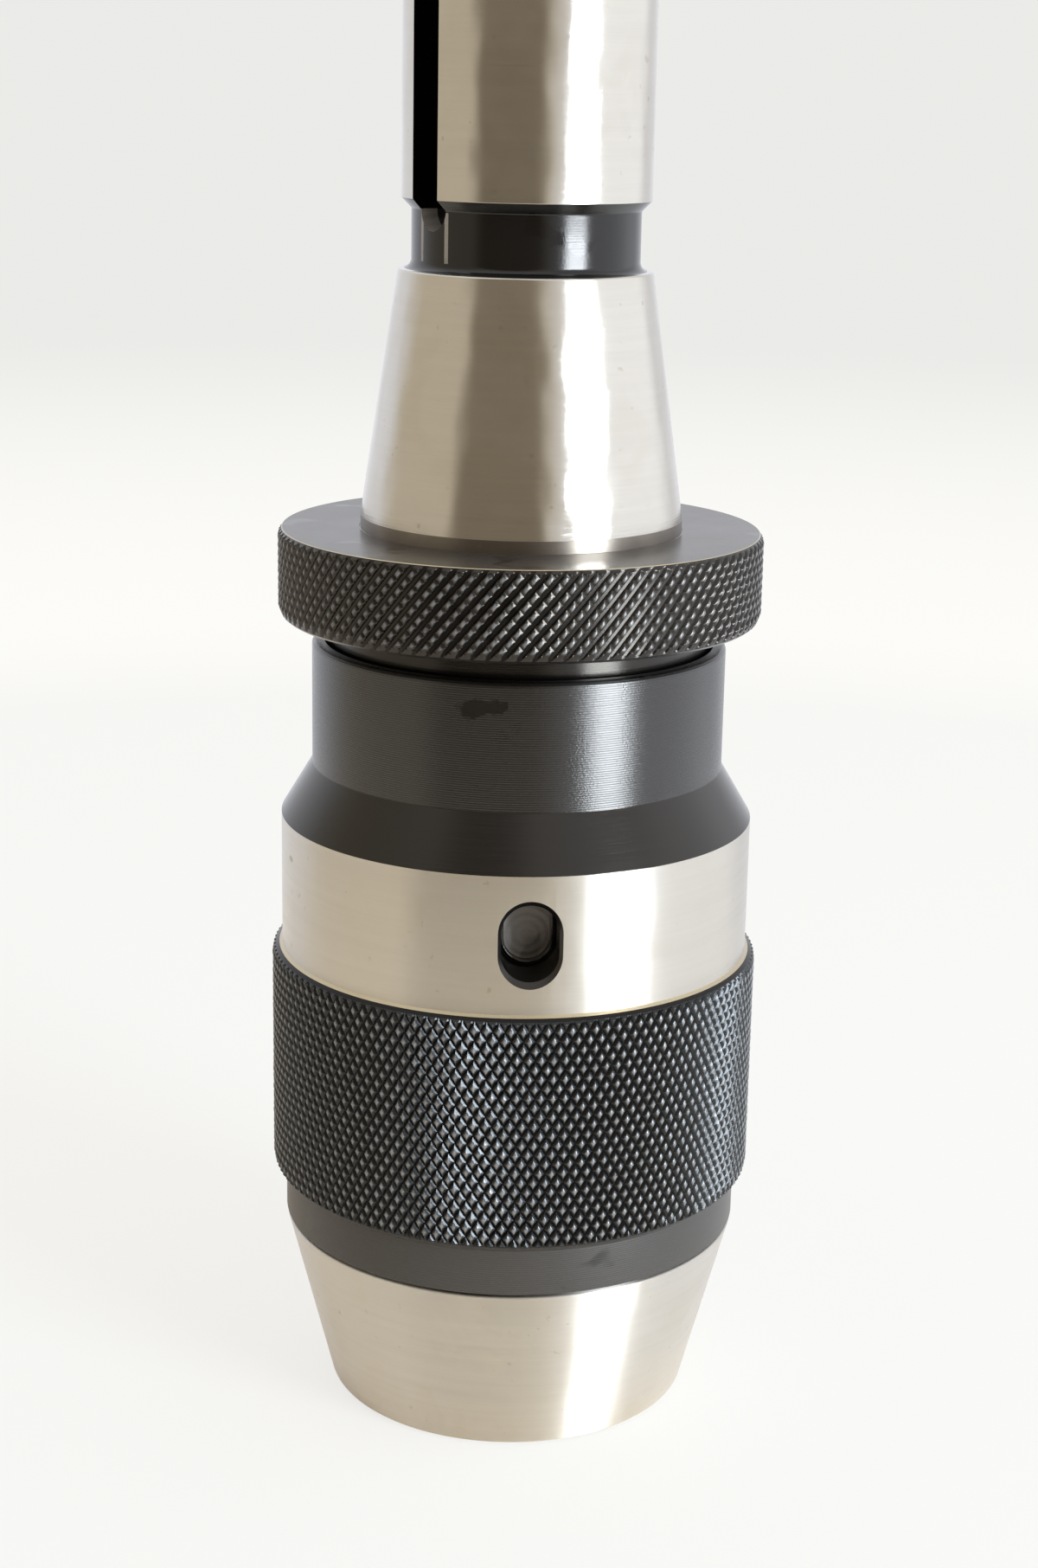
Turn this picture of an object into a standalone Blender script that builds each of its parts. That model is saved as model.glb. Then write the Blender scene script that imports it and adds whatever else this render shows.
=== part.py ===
"""Keyless drill chuck on a solid R8 shank, standing on its nose with the jaws fully open.

The axis is +Z and the nose face lies at height 0. The shank, the hand ring and the lower race stand still.
The sleeve, the hood and the jaw guide turn round them, carry the drive screw and the jaws with them, and the
screw's left-hand thread pushes the jaws down their inclined slots until they close.
Heights are worked out in one chain from the nose face up, and radii in one chain from the shank outwards.
"""

import math

import bmesh
import bpy
from mathutils import Matrix, Vector

MM = 0.001

# Clearances between pieces
SEAT_GAP = 0.3 * MM
RUN_GAP = 0.3 * MM
ROLL_GAP = 0.15 * MM
GRIP_GAP = 0.15 * MM

# R8 shank
GAUGE_RADIUS = 15.875 * MM
GAUGE_TO_END = 101.6 * MM
TAPER_HALF_ANGLE = math.radians(8.425)
TAPER_LENGTH = 23.8 * MM
SHANK_RADIUS = 12.05 * MM
SHANK_FOOT_CHAMFER = 1.0 * MM
SHANK_END_CHAMFER = 1.2 * MM
GROOVE_DEPTH = 1.0 * MM
GROOVE_LENGTH = 5.65 * MM
GROOVE_FILLET = 1.0 * MM
KEYWAY_WIDTH = 4.0 * MM
KEYWAY_DEPTH = 3.0 * MM
KEYWAY_RUNOUT = 1.9 * MM
KEYWAY_ANGLE = math.radians(-147.0)
DRAWBAR_RADIUS = 5.55 * MM
DRAWBAR_DEPTH = 38.0 * MM
DRAWBAR_CHAMFER = 0.7 * MM
DRILL_POINT_ANGLE = math.radians(59.0)

# Jaws and what they hold
LARGEST_DRILL = 13.0 * MM
SMALLEST_DRILL = 0.8 * MM
JAW_COUNT = 3
FIRST_JAW_ANGLE = math.radians(90.0)
JAW_SLOPE = math.radians(20.0)
JAW_WIDTH = 7.0 * MM
JAW_THICKNESS = 8.5 * MM
JAW_TIP_THICKNESS = 3.4 * MM
JAW_TIP_HEIGHT = 8.0 * MM
JAW_HEAD_RIM = 0.7 * MM
JAW_BACK_RIM = 0.4 * MM
NECK_WIDTH = 3.4 * MM
HEAD_WIDTH = 6.4 * MM
HEAD_HEIGHT = 2.8 * MM

# Drive screw and drill stop
DISC_THICKNESS = 8.0 * MM
DISC_CHAMFER = 0.4 * MM
DISC_LIP = 2.4 * MM
SPINDLE_RADIUS = 7.0 * MM
SPINDLE_LENGTH = 31.0 * MM
SPINDLE_CHAMFER = 1.0 * MM
RELIEF_LENGTH = 2.5 * MM
RELIEF_DEPTH = 0.8 * MM
STOP_RADIUS = 2.7 * MM
STOP_DEPTH = 3.0 * MM
STOP_RISE = 0.6 * MM
STOP_CHAMFER = 0.5 * MM
SLOT_WEB = 1.7 * MM

# Body inside the sleeve
NECK_STEP = 0.125 * MM
LAND_LENGTH = 1.25 * MM
BEARING_WIDTH = 4.3 * MM
CUP_WALL = 2.7 * MM
CUP_CHAMFER = 0.4 * MM
WEB_THICKNESS = 4.1 * MM
RIM_GAP = 0.8 * MM
BORE_SPARE = 1.0 * MM

# Thrust bearing
BALL_RADIUS = 1.5 * MM
BALL_COUNT = 16
RACE_THICKNESS = 1.2 * MM
RACE_BITE = 0.35 * MM
CAGE_THICKNESS = 1.2 * MM

# Jaw guide
GUIDE_RISE = 0.4 * MM
GUIDE_BASE_DROP = 3.55 * MM
GUIDE_BORE_SPARE = 0.5 * MM
GUIDE_NOSE_RADIUS = 12.7 * MM
SKIRT_WALL = 2.4 * MM
FLANGE_THICKNESS = 1.5 * MM

# Nose hood
NOSE_LENGTH = 18.55 * MM
NOSE_HALF_ANGLE = math.radians(14.5)
NOSE_STEP = 0.06 * MM
NOSE_ROUND = 0.8 * MM
LIP_THICKNESS = 2.5 * MM
SPIGOT_LENGTH = 3.65 * MM
SPIGOT_WALL = 1.5 * MM

# Outer sleeve
FOOT_WALL = 1.37 * MM
FOOT_BAND_LENGTH = 4.7 * MM
GRIP_WALL = 4.22 * MM
GRIP_FOOT_CHAMFER = 1.1 * MM
GRIP_TOP_CHAMFER = 0.75 * MM
GRIP_TOP_DROP = 1.8 * MM
BAND_WALL = 3.18 * MM
BAND_LENGTH = 13.7 * MM
CONE_LENGTH = 5.2 * MM
COLLAR_WALL = 1.26 * MM
COLLAR_LENGTH = 12.5 * MM
COLLAR_ROUND = 0.6 * MM
COUNTERBORE_DEPTH = 4.35 * MM
SPANNER_SLOT_WIDTH = 5.5 * MM
SPANNER_SLOT_HEIGHT = 7.6 * MM
SPANNER_SLOT_CHAMFER = 0.6 * MM
SPANNER_SLOT_WALL = 1.2 * MM
SPANNER_SLOT_RISE = 1.3 * MM
SPANNER_SLOT_ANGLE = math.radians(-90.0)

# Bush, seal and hand ring
BUSH_WALL = 1.3 * MM
BUSH_LENGTH = 12.0 * MM
SEAL_RADIUS = 1.0 * MM
HUB_WALL = 2.8 * MM
RING_LIFT = 2.4 * MM
RING_FLANGE = 4.92 * MM
RING_LENGTH = 8.75 * MM
RING_FOOT_ROUND = 0.9 * MM
RING_TOP_CHAMFER = 0.4 * MM

# Fineness of the faceted surfaces
OUTER_STEPS = 48
INNER_STEPS = 36
ARC_STEPS = 3
HOLE_STEPS = 12
SMOOTH_ANGLE = math.radians(30.0)
WELD = 0.0005 * MM
OVERRUN = 1.0 * MM

# Jaw travel
RADIAL_TRAVEL = (LARGEST_DRILL - SMALLEST_DRILL) / 2
SCREW_TRAVEL = RADIAL_TRAVEL / math.tan(JAW_SLOPE)

# Radii from the neck outwards
NECK_RADIUS = GAUGE_RADIUS + NECK_STEP
CUP_OUTER = NECK_RADIUS + BEARING_WIDTH
CUP_INNER = CUP_OUTER - CUP_WALL
DISC_RADIUS = CUP_INNER - RUN_GAP
SLEEVE_INNER = CUP_OUTER + RUN_GAP
SLEEVE_BORE = NECK_RADIUS + 2 * RUN_GAP
GRIP_RADIUS = SLEEVE_INNER + GRIP_WALL
BAND_RADIUS = SLEEVE_INNER + BAND_WALL
SKIRT_OUTER = CUP_INNER + SKIRT_WALL
HOOD_INNER = SKIRT_OUTER + SEAT_GAP
SPIGOT_OUTER = HOOD_INNER + SPIGOT_WALL
FOOT_INNER = SPIGOT_OUTER + SEAT_GAP
FOOT_RADIUS = FOOT_INNER + FOOT_WALL
NOSE_RADIUS = FOOT_RADIUS - NOSE_STEP
BUSH_INNER = NECK_RADIUS + RUN_GAP
BUSH_OUTER = BUSH_INNER + BUSH_WALL
BUSH_SEAT = BUSH_OUTER + SEAT_GAP
RING_BORE = NECK_RADIUS + SEAT_GAP
HUB_RADIUS = RING_BORE + HUB_WALL
COLLAR_INNER = HUB_RADIUS + RUN_GAP
COLLAR_RADIUS = COLLAR_INNER + COLLAR_WALL
RING_RADIUS = HUB_RADIUS + RING_FLANGE
PITCH_RADIUS = (NECK_RADIUS + SLEEVE_INNER) / 2
GUIDE_BORE = LARGEST_DRILL / 2 + GUIDE_BORE_SPARE
HOOD_BORE = GUIDE_NOSE_RADIUS + SEAT_GAP
STOP_HOLE = STOP_RADIUS + SEAT_GAP
T_SLOT_END = STOP_HOLE + SLOT_WEB
GROOVE_RADIUS = SHANK_RADIUS - GROOVE_DEPTH

# Heights from the nose face up, with the jaws open
GUIDE_BASE_HEIGHT = NOSE_LENGTH - GUIDE_BASE_DROP
SPIGOT_TOP = NOSE_LENGTH + SPIGOT_LENGTH
FLANGE_FOOT = SPIGOT_TOP + SEAT_GAP
FLANGE_TOP = FLANGE_FOOT + FLANGE_THICKNESS
SLEEVE_STEP = FLANGE_TOP + SEAT_GAP
CUP_RIM = FLANGE_TOP + RIM_GAP
DISC_FOOT = GUIDE_BASE_HEIGHT + RUN_GAP + SCREW_TRAVEL
DISC_TOP = DISC_FOOT + DISC_THICKNESS
CUP_CEILING = DISC_TOP + RUN_GAP
SHOULDER = CUP_CEILING + WEB_THICKNESS
RACE_SPACING = 2 * (BALL_RADIUS - RACE_BITE)
LOWER_RACE_TOP = SHOULDER + SEAT_GAP + RACE_THICKNESS
BALL_HEIGHT = LOWER_RACE_TOP + RACE_SPACING / 2
UPPER_RACE_FOOT = LOWER_RACE_TOP + RACE_SPACING
SLEEVE_SEAT = UPPER_RACE_FOOT + RACE_THICKNESS + SEAT_GAP
SPINDLE_TOP = DISC_TOP + SPINDLE_LENGTH
SLEEVE_FOOT = NOSE_LENGTH + SEAT_GAP
GRIP_FOOT = SLEEVE_FOOT + FOOT_BAND_LENGTH
GRIP_TOP = SLEEVE_SEAT - GRIP_TOP_DROP
BAND_TOP = GRIP_TOP + BAND_LENGTH
CONE_TOP = BAND_TOP + CONE_LENGTH
SLEEVE_TOP = CONE_TOP + COLLAR_LENGTH
COUNTERBORE_FLOOR = SLEEVE_TOP - COUNTERBORE_DEPTH
BUSH_SEAT_FOOT = COUNTERBORE_FLOOR - BUSH_LENGTH - 2 * SEAT_GAP
SEAL_HEIGHT = COUNTERBORE_FLOOR + RUN_GAP + SEAL_RADIUS
HUB_FOOT = SEAL_HEIGHT + SEAL_RADIUS + SEAT_GAP
RING_FOOT = SLEEVE_TOP + RING_LIFT
RING_TOP = RING_FOOT + RING_LENGTH
GAUGE_HEIGHT = RING_TOP + LAND_LENGTH
TAPER_TOP = GAUGE_HEIGHT + TAPER_LENGTH
GROOVE_TOP = TAPER_TOP + GROOVE_LENGTH
SHANK_END = GAUGE_HEIGHT + GAUGE_TO_END


# Scene and materials


def clear_scene():
    for old in list(bpy.data.objects):
        bpy.data.objects.remove(old, do_unlink=True)


def material(name, color, roughness, metallic):
    made = bpy.data.materials.new(name)
    made.use_nodes = True
    shader = made.node_tree.nodes["Principled BSDF"]
    shader.inputs["Base Color"].default_value = (*color, 1.0)
    shader.inputs["Roughness"].default_value = roughness
    shader.inputs["Metallic"].default_value = metallic
    made.diffuse_color = (*color, 1.0)
    return made


def make_materials():
    return {
        "ground_steel": material("ground_steel", (0.62, 0.59, 0.56), 0.28, 1.0),
        "black_oxide": material("black_oxide", (0.035, 0.034, 0.036), 0.35, 0.6),
        "jaw_steel": material("jaw_steel", (0.42, 0.42, 0.44), 0.3, 1.0),
        "bearing_steel": material("bearing_steel", (0.75, 0.75, 0.77), 0.12, 1.0),
        "bronze": material("bronze", (0.55, 0.36, 0.16), 0.35, 1.0),
        "rubber": material("rubber", (0.02, 0.02, 0.02), 0.6, 0.0),
    }


def empty(name, parent=None):
    """Axis of one moving group: its origin lies on the chuck's own axis."""
    made = bpy.data.objects.new(name, None)
    made.parent = parent
    bpy.context.scene.collection.objects.link(made)
    return made


def add_object(name, mesh, finish, parent):
    made = bpy.data.objects.new(name, mesh)
    made.parent = parent
    mesh.materials.clear()
    mesh.materials.append(finish)
    mesh.shade_smooth()
    mesh.set_sharp_from_angle(angle=SMOOTH_ANGLE)
    bpy.context.scene.collection.objects.link(made)
    return made


def helper(name, mesh, angle=0.0):
    """A cutter, turned about the axis, which a render leaves out."""
    made = bpy.data.objects.new(name, mesh)
    made.rotation_euler.z = angle
    made.hide_render = True
    made.display_type = "WIRE"
    bpy.context.scene.collection.objects.link(made)
    return made


def combine(target, tool, operation="DIFFERENCE"):
    step = target.modifiers.new(tool.name, "BOOLEAN")
    step.operation = operation
    step.solver = "EXACT"
    step.object = tool


# Shapes


def to_mesh(name, shape):
    bmesh.ops.recalc_face_normals(shape, faces=shape.faces)
    mesh = bpy.data.meshes.new(name)
    shape.to_mesh(mesh)
    shape.free()
    return mesh


def rounded(corners):
    """Outline of (radius, height) points. A corner with a third value is rounded to that radius."""
    points = []
    count = len(corners)
    for index, corner in enumerate(corners):
        here = Vector(corner[:2])
        if len(corner) == 2:
            points.append(here)
            continue
        back = (Vector(corners[index - 1][:2]) - here).normalized()
        ahead = (Vector(corners[(index + 1) % count][:2]) - here).normalized()
        half_turn = back.angle(ahead) / 2
        start = here + back * corner[2] / math.tan(half_turn)
        end = here + ahead * corner[2] / math.tan(half_turn)
        centre = here + (back + ahead).normalized() * corner[2] / math.sin(half_turn)
        for step in range(ARC_STEPS + 1):
            spoke = (start - centre).lerp(end - centre, step / ARC_STEPS)
            points.append(centre + spoke.normalized() * corner[2])
    return points


def chamfered(radius, height, size, inner, upper):
    """Two points that replace the outer corner of a turned rim. inner or upper says which comes first."""
    side = (radius, height - size if upper else height + size)
    face = (radius - size, height)
    return [face, side] if inner else [side, face]


def turned(name, outline, steps):
    """Body of revolution about Z. An edge that lies on the axis is left out, so the ends close in a point."""
    shape = bmesh.new()
    verts = [shape.verts.new((radius, 0.0, height)) for radius, height in outline]
    edges = []
    for first, second in zip(verts, verts[1:] + verts[:1]):
        if max(first.co.x, second.co.x) > WELD:
            edges.append(shape.edges.new((first, second)))
    axis = Vector((0.0, 0.0, 1.0))
    start = Vector((0.0, 0.0, 0.0))
    whole = 2 * math.pi
    bmesh.ops.spin(shape, geom=verts + edges, cent=start, axis=axis, angle=whole, steps=steps, use_merge=True)
    bmesh.ops.remove_doubles(shape, verts=shape.verts, dist=WELD)
    return to_mesh(name, shape)


def lofted(name, sections):
    """Closed body through sections of equal point count, with flat ends."""
    shape = bmesh.new()
    rings = [[shape.verts.new(point) for point in section] for section in sections]
    for lower, upper in zip(rings, rings[1:]):
        for index in range(len(lower)):
            after = (index + 1) % len(lower)
            shape.faces.new((lower[index], lower[after], upper[after], upper[index]))
    shape.faces.new(rings[0])
    shape.faces.new(rings[-1])
    return to_mesh(name, shape)


def slab(name, side_outline, half_width):
    """Prism of a (radius, height) outline, as wide as the jaw direction's tangent asks."""
    sections = []
    for tangent in (-half_width, half_width):
        sections.append([(radius, tangent, height) for radius, height in side_outline])
    return lofted(name, sections)


def radial_prism(name, front_outline, start, end):
    """Prism of a (tangent, height) outline that runs outwards from radius start to radius end."""
    sections = []
    for radius in (start, end):
        sections.append([(radius, tangent, height) for tangent, height in front_outline])
    return lofted(name, sections)


def obround(half_width, half_height, radius, height):
    """Upright slot outline at a radius, round at both ends, for a loft that runs outwards."""
    points = []
    straight = half_height - half_width
    for end in (1, -1):
        for step in range(HOLE_STEPS // 2 + 1):
            angle = math.pi * step / (HOLE_STEPS // 2)
            tangent = end * half_width * math.cos(angle)
            rise = end * (straight + half_width * math.sin(angle))
            points.append((radius, tangent, height + rise))
    return points


def jaw_angles():
    return [FIRST_JAW_ANGLE + 2 * math.pi * index / JAW_COUNT for index in range(JAW_COUNT)]


def jaw_back(height):
    """Radius of the slope that the jaw's back slides on."""
    tip_back = LARGEST_DRILL / 2 + JAW_TIP_THICKNESS
    return tip_back + (height - JAW_TIP_HEIGHT) * math.tan(JAW_SLOPE)


def nose_cone(height):
    """Radius of the hood's outer cone."""
    return NOSE_RADIUS - (NOSE_LENGTH - height) * math.tan(NOSE_HALF_ANGLE)


def nose_lining(height):
    """Radius of the hood's inner cone, which ends in the spigot's bore."""
    return HOOD_INNER - (NOSE_LENGTH - height) * math.tan(NOSE_HALF_ANGLE)


# Pieces that stand still


def shank_outside():
    """Outer outline from the cup's rim up to the shank's end."""
    taper_end = GAUGE_RADIUS - TAPER_LENGTH * math.tan(TAPER_HALF_ANGLE)
    outline = chamfered(CUP_OUTER, CUP_RIM, CUP_CHAMFER, True, False)
    outline += chamfered(CUP_OUTER, SHOULDER, CUP_CHAMFER, False, True)
    outline += [(NECK_RADIUS, SHOULDER)]
    outline += [(NECK_RADIUS, RING_TOP - SEAT_GAP), (GAUGE_RADIUS, RING_TOP)]
    outline += [(GAUGE_RADIUS, GAUGE_HEIGHT), (taper_end, TAPER_TOP)]
    outline += rounded(
        [(taper_end, TAPER_TOP), (GROOVE_RADIUS, TAPER_TOP, GROOVE_FILLET), (GROOVE_RADIUS, GROOVE_TOP)]
    )[1:]
    outline += [(SHANK_RADIUS, GROOVE_TOP + SHANK_FOOT_CHAMFER)]
    outline += chamfered(SHANK_RADIUS, SHANK_END, SHANK_END_CHAMFER, False, True)
    return outline


def shank_inside():
    """Inner outline from the drawbar hole's mouth down to the cup's rim."""
    point_length = DRAWBAR_RADIUS / math.tan(DRILL_POINT_ANGLE)
    thread_bore = SPINDLE_RADIUS + RUN_GAP
    bore_top = SPINDLE_TOP + BORE_SPARE
    return [
        (DRAWBAR_RADIUS + DRAWBAR_CHAMFER, SHANK_END),
        (DRAWBAR_RADIUS, SHANK_END - DRAWBAR_CHAMFER),
        (DRAWBAR_RADIUS, SHANK_END - DRAWBAR_DEPTH),
        (0.0, SHANK_END - DRAWBAR_DEPTH - point_length),
        (0.0, bore_top + thread_bore / math.tan(DRILL_POINT_ANGLE)),
        (thread_bore, bore_top),
        (thread_bore, CUP_CEILING),
        (CUP_INNER, CUP_CEILING),
        (CUP_INNER, CUP_RIM),
    ]


def keyway_cutter():
    """End mill's path along the shank: it stops in the groove and runs out over the shank's end."""
    half = KEYWAY_WIDTH / 2
    foot = GROOVE_TOP - KEYWAY_RUNOUT + half
    outline = [(half, SHANK_END + OVERRUN), (-half, SHANK_END + OVERRUN)]
    for step in range(HOLE_STEPS // 2 + 1):
        angle = math.pi + math.pi * step / (HOLE_STEPS // 2)
        outline.append((half * math.cos(angle), foot + half * math.sin(angle)))
    mesh = radial_prism("keyway", outline, SHANK_RADIUS - KEYWAY_DEPTH, SHANK_RADIUS + OVERRUN)
    return helper("keyway_cutter", mesh, KEYWAY_ANGLE)


def make_shank_body(finishes, parent):
    mesh = turned("shank_body", shank_outside() + shank_inside(), OUTER_STEPS)
    body = add_object("shank_body", mesh, finishes["ground_steel"], parent)
    combine(body, keyway_cutter())


def make_knurled_ring(finishes, parent):
    outline = rounded(
        [
            (RING_BORE, HUB_FOOT),
            (HUB_RADIUS, HUB_FOOT),
            (HUB_RADIUS, RING_FOOT),
            (RING_RADIUS, RING_FOOT, RING_FOOT_ROUND),
            (RING_RADIUS, RING_TOP - RING_TOP_CHAMFER),
            (RING_RADIUS - RING_TOP_CHAMFER, RING_TOP),
            (RING_BORE, RING_TOP),
        ]
    )
    add_object("knurled_ring", turned("knurled_ring", outline, OUTER_STEPS), finishes["black_oxide"], parent)


def make_dust_seal(finishes, parent):
    centre = NECK_RADIUS + SEAT_GAP + SEAL_RADIUS
    outline = []
    for step in range(HOLE_STEPS):
        angle = 2 * math.pi * step / HOLE_STEPS
        outline.append((centre + SEAL_RADIUS * math.cos(angle), SEAL_HEIGHT + SEAL_RADIUS * math.sin(angle)))
    add_object("dust_seal", turned("dust_seal", outline, INNER_STEPS), finishes["rubber"], parent)


# Thrust bearing


def ball_track(face_height):
    """Arc of the race's groove in a face below or above the balls, from its inner to its outer edge."""
    radius = BALL_RADIUS + ROLL_GAP
    drop = face_height - BALL_HEIGHT
    half_chord = math.sqrt(radius * radius - drop * drop)
    edge = math.atan2(half_chord, abs(drop))
    side = math.copysign(1.0, drop)
    points = []
    for step in range(2 * ARC_STEPS + 1):
        angle = edge * (step / ARC_STEPS - 1)
        height = BALL_HEIGHT + side * radius * math.cos(angle)
        points.append((PITCH_RADIUS + radius * math.sin(angle), height))
    return points


def make_race(name, inner, outer, face, back, finishes, parent):
    outline = [(inner, back), (inner, face)] + ball_track(face) + [(outer, face), (outer, back)]
    add_object(name, turned(name, outline, INNER_STEPS), finishes["bearing_steel"], parent)


def make_ball_cage(finishes, parent):
    inner = NECK_RADIUS + RUN_GAP
    outer = SLEEVE_INNER - RUN_GAP
    foot = BALL_HEIGHT - CAGE_THICKNESS / 2
    top = BALL_HEIGHT + CAGE_THICKNESS / 2
    outline = [(inner, foot), (outer, foot), (outer, top), (inner, top)]
    cage = add_object("ball_cage", turned("ball_cage", outline, INNER_STEPS), finishes["bronze"], parent)
    shape = bmesh.new()
    for place in ball_places():
        pocket = bmesh.ops.create_cone(
            shape,
            cap_ends=True,
            segments=HOLE_STEPS,
            radius1=BALL_RADIUS + ROLL_GAP,
            radius2=BALL_RADIUS + ROLL_GAP,
            depth=CAGE_THICKNESS + OVERRUN,
        )
        bmesh.ops.translate(shape, verts=pocket["verts"], vec=place)
    combine(cage, helper("cage_pockets", to_mesh("cage_pockets", shape)))


def ball_places():
    places = []
    for index in range(BALL_COUNT):
        turn = Matrix.Rotation(2 * math.pi * index / BALL_COUNT, 3, "Z")
        places.append(turn @ Vector((PITCH_RADIUS, 0.0, BALL_HEIGHT)))
    return places


def make_balls(finishes, parent):
    shape = bmesh.new()
    bmesh.ops.create_icosphere(shape, subdivisions=2, radius=BALL_RADIUS)
    mesh = to_mesh("ball", shape)
    for index, place in enumerate(ball_places()):
        ball = add_object(f"ball_{index + 1:02d}", mesh, finishes["bearing_steel"], parent)
        ball.location = place


# Pieces that turn with the sleeve


def sleeve_outline():
    outline = [(FOOT_INNER, SLEEVE_FOOT), (FOOT_RADIUS, SLEEVE_FOOT)]
    outline += [(FOOT_RADIUS, GRIP_FOOT), (GRIP_RADIUS, GRIP_FOOT + GRIP_FOOT_CHAMFER)]
    outline += [(GRIP_RADIUS, GRIP_TOP - GRIP_TOP_CHAMFER), (BAND_RADIUS, GRIP_TOP)]
    outline += [(BAND_RADIUS, BAND_TOP), (COLLAR_RADIUS, CONE_TOP)]
    outline += [(COLLAR_RADIUS, SLEEVE_TOP, COLLAR_ROUND), (COLLAR_INNER, SLEEVE_TOP)]
    outline += [(COLLAR_INNER, COUNTERBORE_FLOOR), (BUSH_SEAT, COUNTERBORE_FLOOR)]
    outline += [(BUSH_SEAT, BUSH_SEAT_FOOT), (SLEEVE_BORE, BUSH_SEAT_FOOT)]
    outline += [(SLEEVE_BORE, SLEEVE_SEAT), (SLEEVE_INNER, SLEEVE_SEAT)]
    outline += [(SLEEVE_INNER, SLEEVE_STEP), (FOOT_INNER, SLEEVE_STEP)]
    return rounded(outline)


def spanner_slot_cutter():
    """Blind slot with a chamfered mouth, just above the sleeve's bearing shoulder."""
    half_width = SPANNER_SLOT_WIDTH / 2
    half_height = SPANNER_SLOT_HEIGHT / 2
    centre = SLEEVE_SEAT + SPANNER_SLOT_RISE + half_height
    mouth = BAND_RADIUS - SPANNER_SLOT_CHAMFER
    flare = SPANNER_SLOT_CHAMFER + OVERRUN
    sections = [
        obround(half_width, half_height, SLEEVE_BORE + SPANNER_SLOT_WALL, centre),
        obround(half_width, half_height, mouth, centre),
        obround(half_width + flare, half_height + flare, mouth + flare, centre),
    ]
    return helper("spanner_slot_cutter", lofted("spanner_slot", sections), SPANNER_SLOT_ANGLE)


def make_outer_sleeve(finishes, parent):
    mesh = turned("outer_sleeve", sleeve_outline(), OUTER_STEPS)
    sleeve = add_object("outer_sleeve", mesh, finishes["black_oxide"], parent)
    combine(sleeve, spanner_slot_cutter())


def make_upper_bush(finishes, parent):
    foot = BUSH_SEAT_FOOT + SEAT_GAP
    outline = [(BUSH_INNER, foot), (BUSH_OUTER, foot)]
    outline += [(BUSH_OUTER, foot + BUSH_LENGTH), (BUSH_INNER, foot + BUSH_LENGTH)]
    add_object("upper_bush", turned("upper_bush", outline, INNER_STEPS), finishes["bronze"], parent)


def make_nose_hood(finishes, parent):
    outline = rounded(
        [
            (HOOD_BORE, 0.0),
            (nose_cone(0.0), 0.0, NOSE_ROUND),
            (NOSE_RADIUS, NOSE_LENGTH),
            (SPIGOT_OUTER, NOSE_LENGTH),
            (SPIGOT_OUTER, SPIGOT_TOP),
            (HOOD_INNER, SPIGOT_TOP),
            (HOOD_INNER, NOSE_LENGTH),
            (nose_lining(LIP_THICKNESS), LIP_THICKNESS),
            (HOOD_BORE, LIP_THICKNESS),
        ]
    )
    add_object("nose_hood", turned("nose_hood", outline, OUTER_STEPS), finishes["ground_steel"], parent)


def guide_outline():
    base_foot = LIP_THICKNESS + SEAT_GAP
    flange_radius = FOOT_INNER - SEAT_GAP
    return [
        (GUIDE_BORE, GUIDE_RISE),
        (GUIDE_NOSE_RADIUS, GUIDE_RISE),
        (GUIDE_NOSE_RADIUS, base_foot),
        (nose_lining(base_foot) - SEAT_GAP, base_foot),
        (SKIRT_OUTER, NOSE_LENGTH),
        (SKIRT_OUTER, FLANGE_FOOT),
        (flange_radius, FLANGE_FOOT),
        (flange_radius, FLANGE_TOP),
        (CUP_INNER, FLANGE_TOP),
        (CUP_INNER, GUIDE_BASE_HEIGHT),
        (GUIDE_BORE, GUIDE_BASE_HEIGHT),
    ]


def guide_slot_outline():
    """Side view of one inclined slot: its outer wall is the slope that the jaw's back slides on."""
    play = RUN_GAP / math.cos(JAW_SLOPE)
    foot = -OVERRUN
    top = GUIDE_BASE_HEIGHT + OVERRUN
    inner = GUIDE_BORE / 2
    return [(inner, foot), (jaw_back(foot) + play, foot), (jaw_back(top) + play, top), (inner, top)]


def make_jaw_guide(finishes, parent):
    blank = turned("jaw_guide", guide_outline(), OUTER_STEPS)
    guide = add_object("jaw_guide", blank, finishes["jaw_steel"], parent)
    mesh = slab("guide_slot", guide_slot_outline(), JAW_WIDTH / 2 + RUN_GAP)
    for number, angle in enumerate(jaw_angles(), start=1):
        combine(guide, helper(f"guide_slot_{number}_cutter", mesh, angle))


# Drive screw, stop and jaws


def t_outline(foot, lip_top, head_top, half_neck, half_head):
    """Front view of the jaw's T-shaped head, or of the slot that holds it."""
    outline = []
    for side, levels in ((1, (foot, lip_top, head_top)), (-1, (head_top, lip_top, foot))):
        widths = {foot: [half_neck], lip_top: [half_neck, half_head], head_top: [half_head]}
        for level in levels:
            for width in widths[level][::side]:
                outline.append((side * width, level))
    return outline


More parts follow.
